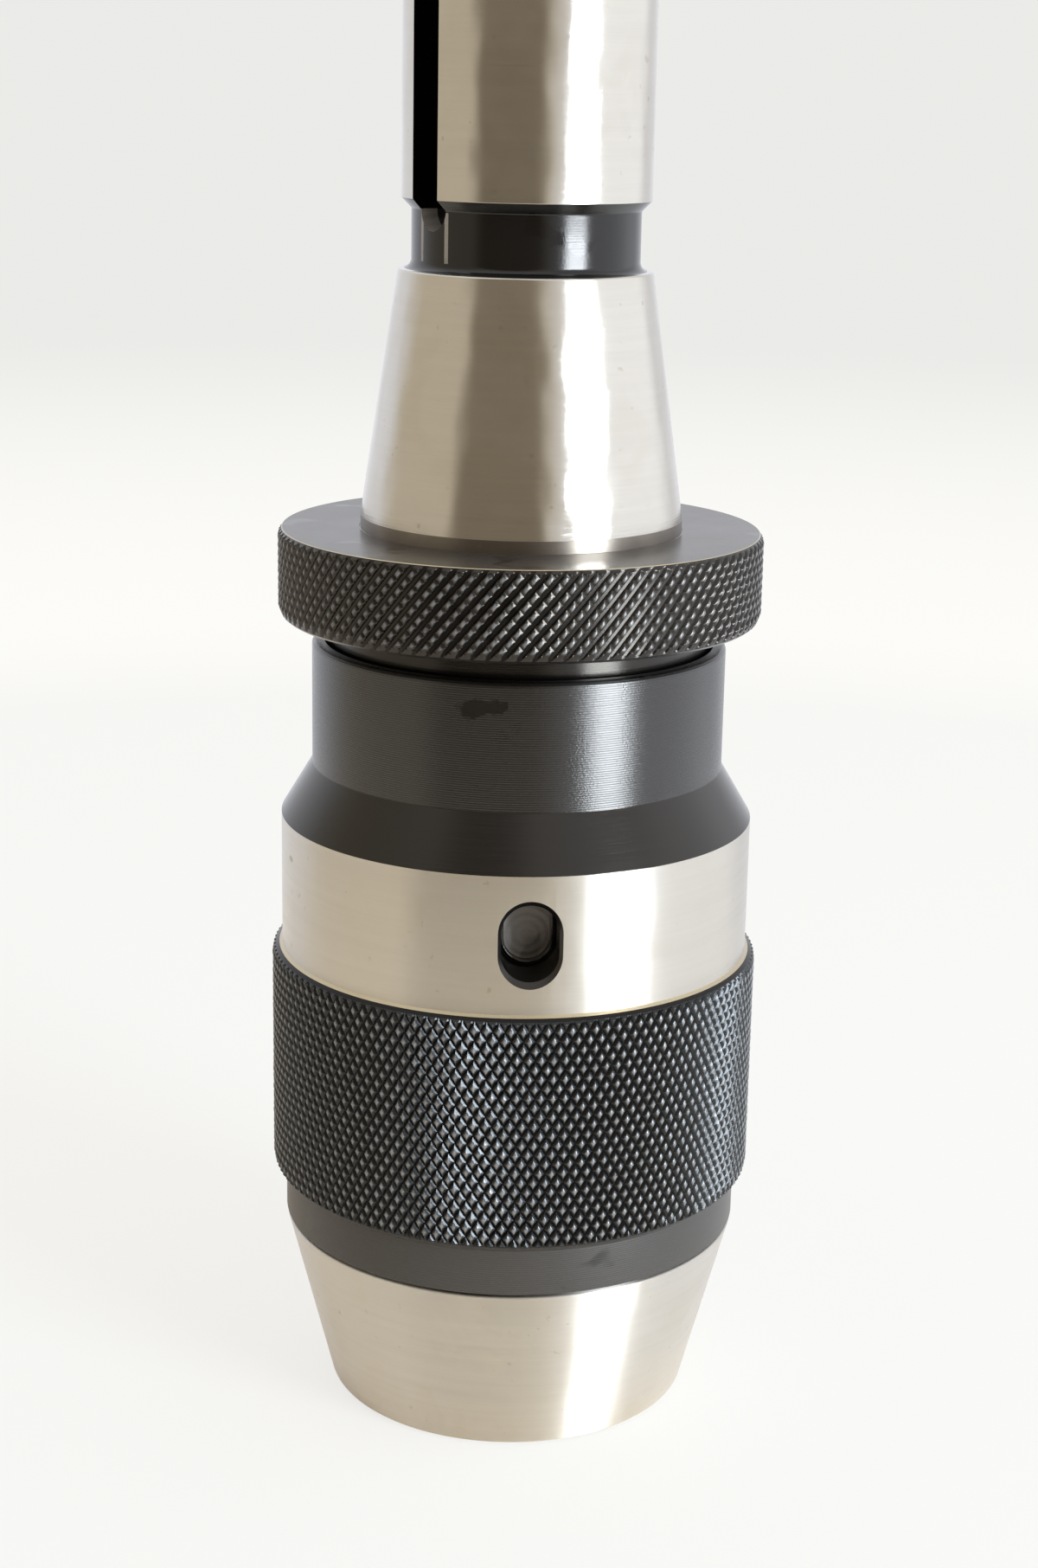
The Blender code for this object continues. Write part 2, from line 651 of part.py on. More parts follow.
def make_drive_screw(finishes, parent):
    relief = SPINDLE_RADIUS - RELIEF_DEPTH
    outline = [(0.0, DISC_FOOT + STOP_DEPTH + SEAT_GAP), (STOP_HOLE, DISC_FOOT + STOP_DEPTH + SEAT_GAP)]
    outline += [(STOP_HOLE, DISC_FOOT)]
    outline += chamfered(DISC_RADIUS, DISC_FOOT, DISC_CHAMFER, True, False)
    outline += chamfered(DISC_RADIUS, DISC_TOP, DISC_CHAMFER, False, True)
    outline += [(relief, DISC_TOP), (relief, DISC_TOP + RELIEF_LENGTH)]
    outline += [(SPINDLE_RADIUS, DISC_TOP + RELIEF_LENGTH + RELIEF_DEPTH)]
    outline += chamfered(SPINDLE_RADIUS, SPINDLE_TOP, SPINDLE_CHAMFER, False, True)
    outline += [(0.0, SPINDLE_TOP)]
    blank = turned("drive_screw", outline, INNER_STEPS)
    screw = add_object("drive_screw", blank, finishes["jaw_steel"], parent)
    lip_top = DISC_FOOT + DISC_LIP
    head_top = lip_top + HEAD_HEIGHT + 2 * RUN_GAP
    front = t_outline(
        DISC_FOOT - OVERRUN, lip_top, head_top, NECK_WIDTH / 2 + RUN_GAP, HEAD_WIDTH / 2 + RUN_GAP
    )
    mesh = radial_prism("t_slot", front, T_SLOT_END, DISC_RADIUS + OVERRUN)
    for number, angle in enumerate(jaw_angles(), start=1):
        combine(screw, helper(f"t_slot_{number}_cutter", mesh, angle))


def make_drill_stop(finishes, parent):
    foot = DISC_FOOT - STOP_RISE
    outline = [(0.0, foot), (STOP_RADIUS - STOP_CHAMFER, foot), (STOP_RADIUS, foot + STOP_CHAMFER)]
    outline += [(STOP_RADIUS, DISC_FOOT + STOP_DEPTH), (0.0, DISC_FOOT + STOP_DEPTH)]
    mesh = turned("drill_stop", outline, INNER_STEPS // 2)
    add_object("drill_stop", mesh, finishes["bearing_steel"], parent)


def jaw_side_outline():
    """Side view of the open jaw's bar: tip, sliding back, trimmed shoulder, top and gripping land."""
    grip = LARGEST_DRILL / 2
    bar_top = DISC_FOOT - RUN_GAP
    shoulder = DISC_RADIUS - JAW_BACK_RIM
    trim_height = JAW_TIP_HEIGHT + (shoulder - jaw_back(JAW_TIP_HEIGHT)) / math.tan(JAW_SLOPE)
    depth = JAW_THICKNESS / math.cos(JAW_SLOPE)
    land_top = JAW_TIP_HEIGHT + (grip + depth - jaw_back(JAW_TIP_HEIGHT)) / math.tan(JAW_SLOPE)
    return [
        (grip, JAW_TIP_HEIGHT),
        (jaw_back(JAW_TIP_HEIGHT), JAW_TIP_HEIGHT),
        (shoulder, trim_height),
        (shoulder, bar_top),
        (jaw_back(bar_top) - depth, bar_top),
        (grip, land_top),
    ]


def sharpen_grip(mesh):
    """Bevels the land on both sides, so that the closed jaws meet like three slices of a cake."""
    shape = bmesh.new()
    shape.from_mesh(mesh)
    wedge = math.pi / JAW_COUNT
    apex = Vector((RADIAL_TRAVEL, 0.0, 0.0))
    for side in (1, -1):
        outward = Vector((-math.sin(wedge), side * math.cos(wedge), 0.0))
        cut = bmesh.ops.bisect_plane(
            shape,
            geom=shape.verts[:] + shape.edges[:] + shape.faces[:],
            plane_co=apex - outward * GRIP_GAP,
            plane_no=outward,
            clear_outer=True,
        )
        edges = [part for part in cut["geom_cut"] if isinstance(part, bmesh.types.BMEdge)]
        bmesh.ops.edgeloop_fill(shape, edges=edges)
    bmesh.ops.recalc_face_normals(shape, faces=shape.faces)
    shape.to_mesh(mesh)
    shape.free()


def make_jaw_mesh():
    """One jaw in the radial frame: the wedge-shaped bar joined with its T-shaped head."""
    bar_mesh = slab("jaw_bar", jaw_side_outline(), JAW_WIDTH / 2)
    sharpen_grip(bar_mesh)
    bar = helper("jaw_bar", bar_mesh)
    lip_top = DISC_FOOT + DISC_LIP + RUN_GAP
    front = t_outline(
        DISC_FOOT - RUN_GAP - OVERRUN, lip_top, lip_top + HEAD_HEIGHT, NECK_WIDTH / 2, HEAD_WIDTH / 2
    )
    head_start = T_SLOT_END + RUN_GAP + RADIAL_TRAVEL
    head = helper("jaw_head", radial_prism("jaw_head", front, head_start, DISC_RADIUS - JAW_HEAD_RIM))
    combine(bar, head, "UNION")
    bpy.context.view_layer.update()
    joined = bpy.data.meshes.new_from_object(bar.evaluated_get(bpy.context.evaluated_depsgraph_get()))
    for done in (bar, head):
        bpy.data.objects.remove(done, do_unlink=True)
    joined.name = "jaw"
    joined.transform(Matrix.Translation((-LARGEST_DRILL / 2, 0.0, -JAW_TIP_HEIGHT)))
    return joined


def make_jaws(finishes, parent):
    mesh = make_jaw_mesh()
    for number, angle in enumerate(jaw_angles(), start=1):
        jaw = add_object(f"jaw_{number}", mesh, finishes["jaw_steel"], parent)
        turn = Matrix.Rotation(angle, 3, "Z")
        jaw.location = turn @ Vector((LARGEST_DRILL / 2, 0.0, JAW_TIP_HEIGHT))
        jaw.rotation_euler.z = angle


def build():
    clear_scene()
    finishes = make_materials()
    shank = empty("shank_axis")
    sleeve = empty("sleeve_axis", shank)
    screw = empty("screw_axis", sleeve)
    bearing = empty("bearing_axis", shank)
    make_shank_body(finishes, shank)
    make_knurled_ring(finishes, shank)
    make_dust_seal(finishes, shank)
    race_inner = NECK_RADIUS + SEAT_GAP
    race_outer = CUP_OUTER - SEAT_GAP
    make_race("lower_race", race_inner, race_outer, LOWER_RACE_TOP, SHOULDER + SEAT_GAP, finishes, shank)
    make_ball_cage(finishes, bearing)
    make_balls(finishes, bearing)
    race_inner = SLEEVE_BORE
    race_outer = SLEEVE_INNER - SEAT_GAP
    make_race("upper_race", race_inner, race_outer, UPPER_RACE_FOOT, SLEEVE_SEAT - SEAT_GAP, finishes, sleeve)
    make_outer_sleeve(finishes, sleeve)
    make_upper_bush(finishes, sleeve)
    make_nose_hood(finishes, sleeve)
    make_jaw_guide(finishes, sleeve)
    make_drive_screw(finishes, screw)
    make_drill_stop(finishes, screw)
    make_jaws(finishes, sleeve)


build()
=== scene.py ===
# %% [markdown]
# # A keyless drill chuck on a solid taper shank
# The chuck stands on its nose. Its construction comes from the packed CAD model, which is loaded as a fixed
# frame. This script only dresses it: finer turned surfaces, real knurling, a thread, and the finish of
# every piece. A piece that is dressed here is a new mesh that rides on the same body as the CAD piece it
# stands for.

# %% Load the frame
import math

import bmesh
import bpy
from mathutils import Matrix, Vector


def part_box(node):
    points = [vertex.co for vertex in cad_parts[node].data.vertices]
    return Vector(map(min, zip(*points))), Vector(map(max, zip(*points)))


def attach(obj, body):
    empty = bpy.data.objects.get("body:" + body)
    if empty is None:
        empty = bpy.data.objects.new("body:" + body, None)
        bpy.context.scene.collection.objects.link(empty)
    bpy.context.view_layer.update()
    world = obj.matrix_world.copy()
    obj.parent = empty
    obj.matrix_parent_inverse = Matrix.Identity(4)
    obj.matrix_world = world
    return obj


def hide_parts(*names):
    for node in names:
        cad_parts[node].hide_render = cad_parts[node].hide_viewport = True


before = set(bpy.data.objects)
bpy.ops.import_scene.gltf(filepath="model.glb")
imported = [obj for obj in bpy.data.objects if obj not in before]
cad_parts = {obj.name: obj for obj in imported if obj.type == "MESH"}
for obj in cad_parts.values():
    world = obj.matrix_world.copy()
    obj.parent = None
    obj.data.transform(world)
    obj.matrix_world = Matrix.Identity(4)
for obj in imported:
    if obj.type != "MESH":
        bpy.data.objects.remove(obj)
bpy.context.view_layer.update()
MM = 0.001

# %% [markdown]
# ## The camera
# The photograph was taken from close by, a little above the chuck and looking down at it. Its perspective
# gives the distance, so the camera is placed by measures from the chuck's axis, then turned about that axis
# until the spanner slot faces the front. A camera looks down its own -Z, so it is first tipped up to look
# level, then aimed.

# %% Camera


def add_object(name, data):
    """New object that is linked to the scene."""
    made = bpy.data.objects.new(name, data)
    bpy.context.scene.collection.objects.link(made)
    return made


CAMERA_DISTANCE = 252.5 * MM
CAMERA_HEIGHT = 132.6 * MM
CAMERA_ROUND = math.radians(-3.9)
CAMERA_PITCH = math.radians(15.17)
CAMERA_YAW = math.radians(0.06)
CAMERA_ROLL = math.radians(1.05)
FOCAL_LENGTH = 59.12
NEAREST = 10.0 * MM

aim = Matrix.Rotation(-CAMERA_YAW, 4, "Z")
aim = aim @ Matrix.Rotation(math.pi / 2 - CAMERA_PITCH, 4, "X") @ Matrix.Rotation(CAMERA_ROLL, 4, "Z")
stand = Matrix.Translation((0.0, -CAMERA_DISTANCE, CAMERA_HEIGHT))
camera = add_object("camera", bpy.data.cameras.new("camera"))
camera.data.lens = FOCAL_LENGTH
camera.data.clip_start = NEAREST
camera.matrix_world = Matrix.Rotation(CAMERA_ROUND, 4, "Z") @ stand @ aim
bpy.context.scene.camera = camera
print("camera at", [round(value, 4) for value in camera.matrix_world.translation])

# %% [markdown]
# ## Writing node trees as sums
# Materials and Geometry Nodes are both trees of nodes. A Wire is one output of a node, and the usual signs
# work on it: each adds a Math node. The reflected forms make 1 - wire work too. Every other node comes from
# Graph.add, which takes the node's type, its settings, and the values or wires of its inputs, by order or
# by name.

# %% Wires and graphs


def operator(operation, reflected=False):
    """Method for a sign, which adds a Math node. In a reflected one the wire stands on the right."""

    def method(wire, other):
        return wire.graph.math(operation, *((other, wire) if reflected else (wire, other)))

    return method


class Wire:
    """One output of a node. Arithmetic on it adds Math nodes to the node's tree."""

    def __init__(self, graph, node, output=0):
        self.graph = graph
        self.node = node
        self.output = output

    def __getitem__(self, output):
        return Wire(self.graph, self.node, output)

    __add__ = __radd__ = operator("ADD")
    __sub__ = operator("SUBTRACT")
    __rsub__ = operator("SUBTRACT", reflected=True)
    __mul__ = __rmul__ = operator("MULTIPLY")
    __truediv__ = operator("DIVIDE")
    __rtruediv__ = operator("DIVIDE", reflected=True)
    __pow__ = operator("POWER")
    __mod__ = operator("FLOORED_MODULO")


class Graph:
    """A node tree that is built by calls."""

    def __init__(self, tree):
        self.tree = tree
        self.tree.nodes.clear()

    def feed(self, socket, value):
        if isinstance(value, Wire):
            self.tree.links.new(value.node.outputs[value.output], socket)
        elif socket.type == "RGBA" and len(value) == 3:
            socket.default_value = (*value, 1.0)
        else:
            socket.default_value = value

    def add(self, kind, *values, settings=None, output=0, **named):
        node = self.tree.nodes.new(kind)
        for key, setting in (settings or {}).items():
            setattr(node, key, setting)
        for index, value in enumerate(values):
            self.feed(node.inputs[index], value)
        for name, value in named.items():
            self.feed(node.inputs[name.replace("_", " ")], value)
        return Wire(self, node, output)

    def math(self, operation, *values):
        return self.add("ShaderNodeMath", *values, settings={"operation": operation})

    def vector(self, operation, *values, output=0):
        settings = {"operation": operation}
        return self.add("ShaderNodeVectorMath", *values, settings=settings, output=output)

    def length(self, vector):
        return self.vector("LENGTH", vector, output="Value")

    def joined(self, x, y, z):
        return self.add("ShaderNodeCombineXYZ", x, y, z)

    def parts(self, vector):
        split = self.add("ShaderNodeSeparateXYZ", vector)
        return split["X"], split["Y"], split["Z"]

    def noise(self, place, scale, detail=3.0, rough=0.5, swirl=0.0):
        """Cloudy pattern from 0 to 1."""
        named = {"Vector": place, "Scale": scale, "Detail": detail, "Roughness": rough, "Distortion": swirl}
        return self.add("ShaderNodeTexNoise", **named)

    def ease(self, value, start, end):
        """0 at start, 1 at end, with a smooth way between. Start may be the larger one."""
        smooth = {"interpolation_type": "SMOOTHSTEP"}
        return self.add("ShaderNodeMapRange", settings=smooth, Value=value, From_Min=start, From_Max=end)

    def blend(self, share, first, second):
        """Colour that goes from the first to the second as share goes from 0 to 1."""
        mix = self.add("ShaderNodeMix", settings={"data_type": "RGBA", "clamp_factor": True})
        # The node has sockets for every type of value, and the colours are inputs 6 and 7 and output 2
        for index, value in ((0, share), (6, first), (7, second)):
            self.feed(mix.node.inputs[index], value)
        return mix[2]


print("operators:", [name for name in vars(Wire) if name.startswith("__") and name != "__module__"])

# %% [markdown]
# ## The bright room
# Polished steel shows its surroundings more than itself. The room is brightest at a window on the right,
# bright and cool behind, dimmer and warm on the left, and darkest on the side that the camera looks from.
# It could be built from white walls and cards; here the world's colour changes with direction, which leaves
# nothing in the way of other views. Camera rays see one plain pale tone instead, so the background stays
# even from all sides.

# %% World
ROOM_RIGHT = (0.91, 0.93, 0.99)
ROOM_LEFT = (0.66, 0.60, 0.49)
ROOM_FRONT = (0.275, 0.235, 0.18)
ROOM_BELOW = (0.09, 0.075, 0.055)
WINDOW = (1.32, 1.37, 1.46)
ROOM_TOP = (1.05, 1.05, 1.05)
BACKGROUND = (0.83, 0.83, 0.81)
FRONT_DIRECTION = Vector((-0.34, -0.94, 0.0)).normalized()
LEFT_TO_RIGHT = (-0.75, -0.10)
WINDOW_EDGE = (0.70, 0.92)
TOP_EDGE = (0.45, 0.9)
BELOW_TO_FRONT = (-0.24, -0.10)
FRONT_EDGE = (0.76, 0.90)

world = bpy.data.worlds.new("room")
bpy.context.scene.world = world
world.use_nodes = True
room = Graph(world.node_tree)
look = room.add("ShaderNodeTexCoord")["Generated"]
side, depth, rise = room.parts(look)
walls = room.blend(room.ease(side + depth * 0.9, *LEFT_TO_RIGHT), ROOM_LEFT, ROOM_RIGHT)
walls = room.blend(room.ease(side, *WINDOW_EDGE), walls, WINDOW)
walls = room.blend(room.ease(rise, *TOP_EDGE), walls, ROOM_TOP)
level = room.vector("NORMALIZE", room.vector("MULTIPLY", look, (1.0, 1.0, 0.6)))
facing = room.vector("DOT_PRODUCT", level, tuple(FRONT_DIRECTION), output="Value")
front = room.blend(room.ease(rise, *BELOW_TO_FRONT), ROOM_BELOW, ROOM_FRONT)
walls = room.blend(room.ease(facing, *FRONT_EDGE), walls, front)
seen = room.add("ShaderNodeLightPath")["Is Camera Ray"]
glow = room.add("ShaderNodeBackground", room.blend(seen, walls, BACKGROUND), 1.0)
room.add("ShaderNodeOutputWorld", glow)
bpy.context.scene.view_settings.view_transform = "Standard"
print("room colours from", ROOM_FRONT, "to", ROOM_RIGHT)

# %% [markdown]
# ## Lamps
# The white streak down the right side of every turned surface is the picture of a tall softbox. An area
# lamp gives that streak and the soft shadow to the left. The bare table beyond the paper mirrors the
# softbox, which carries the streak down to the lower pieces: a second lamp below the table's level stands
# for that mirror image.

# %% Lamps
LAMP_AZIMUTH = math.radians(46.5)
LAMP_TINT = (0.85, 0.935, 1.0)
LAMP_TARGET = Vector((0.0, 0.0, 90.0 * MM))


def softbox(name, elevation, distance, width, height, power):
    """Area lamp that faces the chuck from its front right, at an elevation in degrees."""
    lamp = bpy.data.lights.new(name, "AREA")
    lamp.shape = "RECTANGLE"
    lamp.size = width
    lamp.size_y = height
    lamp.energy = power
    lamp.color = LAMP_TINT
    lift = math.radians(elevation)
    level = math.cos(lift)
    outward = Vector((math.sin(LAMP_AZIMUTH) * level, -math.cos(LAMP_AZIMUTH) * level, math.sin(lift)))
    holder = add_object(name, lamp)
    holder.location = LAMP_TARGET + outward * distance
    holder.rotation_mode = "QUATERNION"
    holder.rotation_quaternion = outward.to_track_quat("Z", "Y")


softbox("key_softbox", elevation=9.5, distance=0.9, width=0.34, height=0.44, power=12.0)
softbox("table_mirror", elevation=-18.5, distance=0.62, width=0.22, height=0.20, power=2.2)

# %% [markdown]
# ## The floor
# A sheet of white paper, which curves up into the backdrop far behind. A flat disc does the same here: the
# camera sees it run on without an edge, because its colour turns to the background's light grey with
# distance. Most of what the camera sees of it is a glow of its own, which keeps the shadow pale. Mirrored
# in the steel it ends sooner, as a sheet does, and there its colour is painted light: brighter than the
# paper, and warm on the left where the room's light is warm. From below it is clear, so that the nose can
# be looked at from there.

# %% Floor
FLOOR_RADIUS = 6.0
FLOOR_STEPS = 96
FLOOR_DROP = 0.02 * MM
PAPER = (0.72, 0.72, 0.71)
FIBRES = (0.68, 0.67, 0.65)
# Painted light: the paper's colour in reflections, brighter than the paper and warm on the left where the
# room's light is warm
PAPER_IN_WARM_LIGHT = (0.92, 0.83, 0.70)
PAPER_IN_COOL_LIGHT = (0.90, 0.90, 0.90)
WARM_TO_COOL = (0.0, 0.07)
PAPER_GLOW = (0.98, 0.972, 0.945)
GLOW_SHARE = 0.75
GLOW_FADE = (0.13, 0.40)
BACKDROP_FADE = (0.35, 1.2)
SHEET_EDGE = (0.15, 0.25)


def new_finish(name):
    """New material and the graph that fills it."""
    made = bpy.data.materials.new(name)
    made.use_nodes = True
    return made, Graph(made.node_tree)


def mesh_of(shape, name):
    """Plain mesh of a bmesh, which is freed."""
    mesh = bpy.data.meshes.new(name)
    shape.to_mesh(mesh)
    shape.free()
    return mesh


def floor_material():
    made, graph = new_finish("paper")
    place = graph.add("ShaderNodeTexCoord")["Object"]
    distance = graph.length(place)
    grain = graph.noise(place, 900.0, 4.0)
    seen = graph.add("ShaderNodeLightPath")["Is Camera Ray"]
    # Painted light: in reflections the paper is brighter, and warm on the left
    mirrored = graph.blend(graph.ease(graph.parts(place)[0], *WARM_TO_COOL), PAPER_IN_WARM_LIGHT, PAPER_IN_COOL_LIGHT)
    tone = graph.blend(seen, mirrored, graph.blend(grain * 0.05, PAPER, FIBRES))
    bump = graph.add("ShaderNodeBump", Strength=0.15, Distance=0.1 * MM, Height=grain)
    matt = {"Roughness": 1.0, "Specular IOR Level": 0.05}
    paper = graph.add("ShaderNodeBsdfPrincipled", Base_Color=tone, Normal=bump, **matt)
    flat = graph.blend(graph.ease(distance, *BACKDROP_FADE), PAPER_GLOW, BACKGROUND)
    flat = graph.add("ShaderNodeEmission", flat, 1.0)
    share = graph.math("MAXIMUM", graph.ease(distance, *GLOW_FADE), seen * GLOW_SHARE)
    sheet = graph.add("ShaderNodeMixShader", share, paper, flat)
    hidden = (1.0 - seen) * graph.ease(distance, *SHEET_EDGE)
    hidden = graph.math("MAXIMUM", hidden, graph.add("ShaderNodeNewGeometry")["Backfacing"])
    clear = graph.add("ShaderNodeBsdfTransparent")
    graph.add("ShaderNodeOutputMaterial", graph.add("ShaderNodeMixShader", hidden, sheet, clear))
    return made


floor_shape = bmesh.new()
bmesh.ops.create_circle(floor_shape, cap_ends=True, segments=FLOOR_STEPS, radius=FLOOR_RADIUS)
floor_mesh = mesh_of(floor_shape, "floor")
floor_mesh.transform(Matrix.Translation((0.0, 0.0, -FLOOR_DROP)))
floor_mesh.materials.append(floor_material())
floor = add_object("floor", floor_mesh)
print("floor radius", FLOOR_RADIUS)

# %% [markdown]
# ## Growing a mesh from a node tree
# A Geometry Nodes tree has named inputs, like a function. To use one, an object gets it as a modifier, the
# inputs are set by their identifiers, and the evaluated result is copied out as a plain mesh.

# %% Run a tree


def new_tree(name, counts, sizes=()):
    """Geometry Nodes tree that takes and gives geometry, with whole counts, sizes and a finish as inputs."""
    tree = bpy.data.node_groups.new(name, "GeometryNodeTree")
    for way in ("INPUT", "OUTPUT"):
        tree.interface.new_socket("Geometry", in_out=way, socket_type="NodeSocketGeometry")
    for kind, labels in (("Int", counts), ("Float", sizes), ("Material", ["Finish"])):
        for label in labels:
            tree.interface.new_socket(label, in_out="INPUT", socket_type="NodeSocket" + kind)
    graph = Graph(tree)
    return graph, graph.add("NodeGroupInput")


def close_tree(graph, entry, shape):
    """Every tree ends the same way: real geometry instead of instances, then its finish."""
    real = graph.add("GeometryNodeRealizeInstances", Geometry=shape)
    painted = graph.add("GeometryNodeSetMaterial", Geometry=real, Material=entry["Finish"])
    graph.add("NodeGroupOutput", painted)
    return graph.tree


def plain_mesh(item, name):
    """Mesh of an object as its modifiers leave it. The object and its first mesh are thrown away."""
    mesh = bpy.data.meshes.new_from_object(item.evaluated_get(bpy.context.evaluated_depsgraph_get()))
    first = item.data
    bpy.data.objects.remove(item, do_unlink=True)
    bpy.data.meshes.remove(first)
    mesh.name = name
    return mesh


def grow(name, tree, coat, start=None, **sizes):
    """Mesh that the tree makes with this finish and these sizes, from nothing or from a starting mesh."""
    base = add_object(name, start or bpy.data.meshes.new(name))
    step = base.modifiers.new("tree", "NODES")
    step.node_group = tree
    wanted = {key.replace("_", " "): value for key, value in sizes.items()}
    wanted["Finish"] = coat
    for item in tree.interface.items_tree:
        if item.in_out == "INPUT" and item.name in wanted:
            step[item.identifier] = wanted[item.name]
    return plain_mesh(base, name)


# %% [markdown]
# ## A lathe
# Nearly every surface here is turned: an outline that goes once round the axis. Blender's Spin would do it.
# The tree below does the same with a grid: each column of the grid is one copy of the outline, and Set
# Position bends the grid round the axis. Merging by distance closes the seam and the points on the axis.

# %% Lathe tree
WELD = 0.002 * MM


def lathe_tree():
    graph, entry = new_tree("lathe", ["Steps"])
    outline = entry["Geometry"]
    size = graph.add("GeometryNodeAttributeDomainSize", outline)
    grid = graph.add("GeometryNodeMeshGrid", 1.0, 1.0, entry["Steps"] + 1, size)
    index = graph.add("GeometryNodeInputIndex")
    column = graph.math("FLOOR", (index + 0.5) / size)
    row = index - column * size
    spot = graph.add("GeometryNodeInputPosition")
    kind = {"data_type": "FLOAT_VECTOR", "domain": "POINT"}
    point = graph.add("GeometryNodeSampleIndex", settings=kind, Geometry=outline, Value=spot, Index=row)
    radius, unused, height = graph.parts(point)
    angle = column * (2 * math.pi) / entry["Steps"]
    place = graph.joined(radius * graph.math("COSINE", angle), radius * graph.math("SINE", angle), height)
    turned = graph.add("GeometryNodeSetPosition", Geometry=grid, Position=place)
    welded = graph.add("GeometryNodeMergeByDistance", Geometry=turned, Distance=WELD)
    return close_tree(graph, entry, welded)


LATHE = lathe_tree()
print("lathe tree nodes:", len(LATHE.nodes))

# %% [markdown]
# An outline is a list of corners, each a radius and a height. A third value rounds the corner with an arc.
# Real turned edges are never quite sharp: a touch of the file breaks them, and that tiny round is what
# catches the light.

# %% Outlines
ARC_STEPS = 5
TURN_STEPS = 144
EDGE = 0.15 * MM
SHARP_ANGLE = math.radians(35.0)


def rounded(corners, closed):
    """Points of an outline whose corners with a third value are rounded to that radius."""
    points = []
    for index, corner in enumerate(corners):
        here = Vector(corner[:2])
        if len(corner) == 2:
            points.append(here)
            continue
        arc = corner[2]
        back = (Vector(corners[index - 1][:2]) - here).normalized()
        ahead = (Vector(corners[(index + 1) % len(corners)][:2]) - here).normalized()
        half_turn = back.angle(ahead) / 2
        start = here + back * arc / math.tan(half_turn)
        end = here + ahead * arc / math.tan(half_turn)
        centre = here + (back + ahead).normalized() * arc / math.sin(half_turn)
        for step in range(ARC_STEPS + 1):
            spoke = (start - centre).lerp(end - centre, step / ARC_STEPS)
            points.append(centre + spoke.normalized() * arc)
    return points + points[:1] if closed else points


def turn(name, corners, coat, steps=TURN_STEPS, closed=True):
    """Turned mesh of an outline, which is closed or ends where something else joins on."""
    outline = bpy.data.meshes.new(name)
    outline.from_pydata([(point[0], 0.0, point[1]) for point in rounded(corners, closed)], [], [])
    return grow(name, LATHE, coat, outline, Steps=steps)


def tidy(mesh):
    """Welds the mesh, turns its faces outwards and shades it smooth except over sharp edges."""
    shape = bmesh.new()
    shape.from_mesh(mesh)
    bmesh.ops.remove_doubles(shape, verts=shape.verts, dist=WELD)
    bmesh.ops.dissolve_degenerate(shape, edges=shape.edges, dist=WELD / 4)
    bmesh.ops.recalc_face_normals(shape, faces=shape.faces)
    loose = [edge for edge in shape.edges if len(edge.link_faces) != 2]
    shape.to_mesh(mesh)
    shape.free()
    mesh.shade_smooth()
    mesh.set_sharp_from_angle(angle=SHARP_ANGLE)
    print(f"{mesh.name}: {len(mesh.polygons)} faces, {len(loose)} edges open")
    return mesh


def paint(mesh, names, rule):
    """Gives each face the finish that the rule names for it."""
    mesh.materials.clear()
    for name in names:
        mesh.materials.append(finish[name])
    numbers = {name: number for number, name in enumerate(names)}
    for face in mesh.polygons:
        x, y, height = face.center
        face.material_index = numbers[rule(math.hypot(x, y), height, face)]


def place_piece(name, mesh, body, slot, *nodes):
    """Makes the piece, which rides on a body and stands for CAD nodes."""
    piece = add_object(name, mesh)
    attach(piece, body)
    if nodes:
        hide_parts(*nodes)


# %% [markdown]
# ## Finishes
# Ground steel is not evenly shiny. The wheel leaves fine lines round the piece, so it mirrors sharply along
# them and smears across them: the shader's Anisotropic value does that. The surface is also a little wavy,
# which makes the edges of its reflections wander. On top go long faint streaks, a cloudy film of oil and
# small brown stains. All patterns read Object coordinates, stretched so that they run round the axis.

# %% Steel
STEEL = (0.66, 0.62, 0.555)
OIL_FILM = (0.50, 0.45, 0.36)
STAIN = (0.36, 0.29, 0.17)
ACROSS = 0.25


def shader_place(graph, seed):
    """Object coordinates in millimetres, and the same moved by a seed, for a pattern of its own."""
    whole = graph.vector("MULTIPLY", graph.add("ShaderNodeTexCoord")["Object"], (1000.0, 1000.0, 1000.0))
    return whole, graph.vector("ADD", whole, (seed, 2.0 * seed, 3.0 * seed))


def stretched(graph, place, around, along, detail=3.0, rough=0.5):
    """Noise whose spots are longer round the axis than along it."""
    return graph.noise(graph.vector("MULTIPLY", place, (around, around, along)), 1.0, detail, rough)


def drops(graph, place, cloud, spots):
    """Share from 0 to 1 that is 1 inside spots of oil. Each spot is a place in millimetres and a size."""
    share = 0.0
    for *middle, size in spots:
        offset = graph.vector("MULTIPLY", graph.vector("SUBTRACT", place, middle), (0.5, 0.5, 1.0))
        reach = graph.length(offset) + (cloud - 0.5) * (2.5 * size)
        share = graph.math("MAXIMUM", share, graph.ease(reach, size, 0.55 * size))
    return share


def close_finish(graph, **values):
    """Ends a finish with one shader that has these values."""
    shader = graph.add("ShaderNodeBsdfPrincipled", **values)
    graph.add("ShaderNodeOutputMaterial", shader)


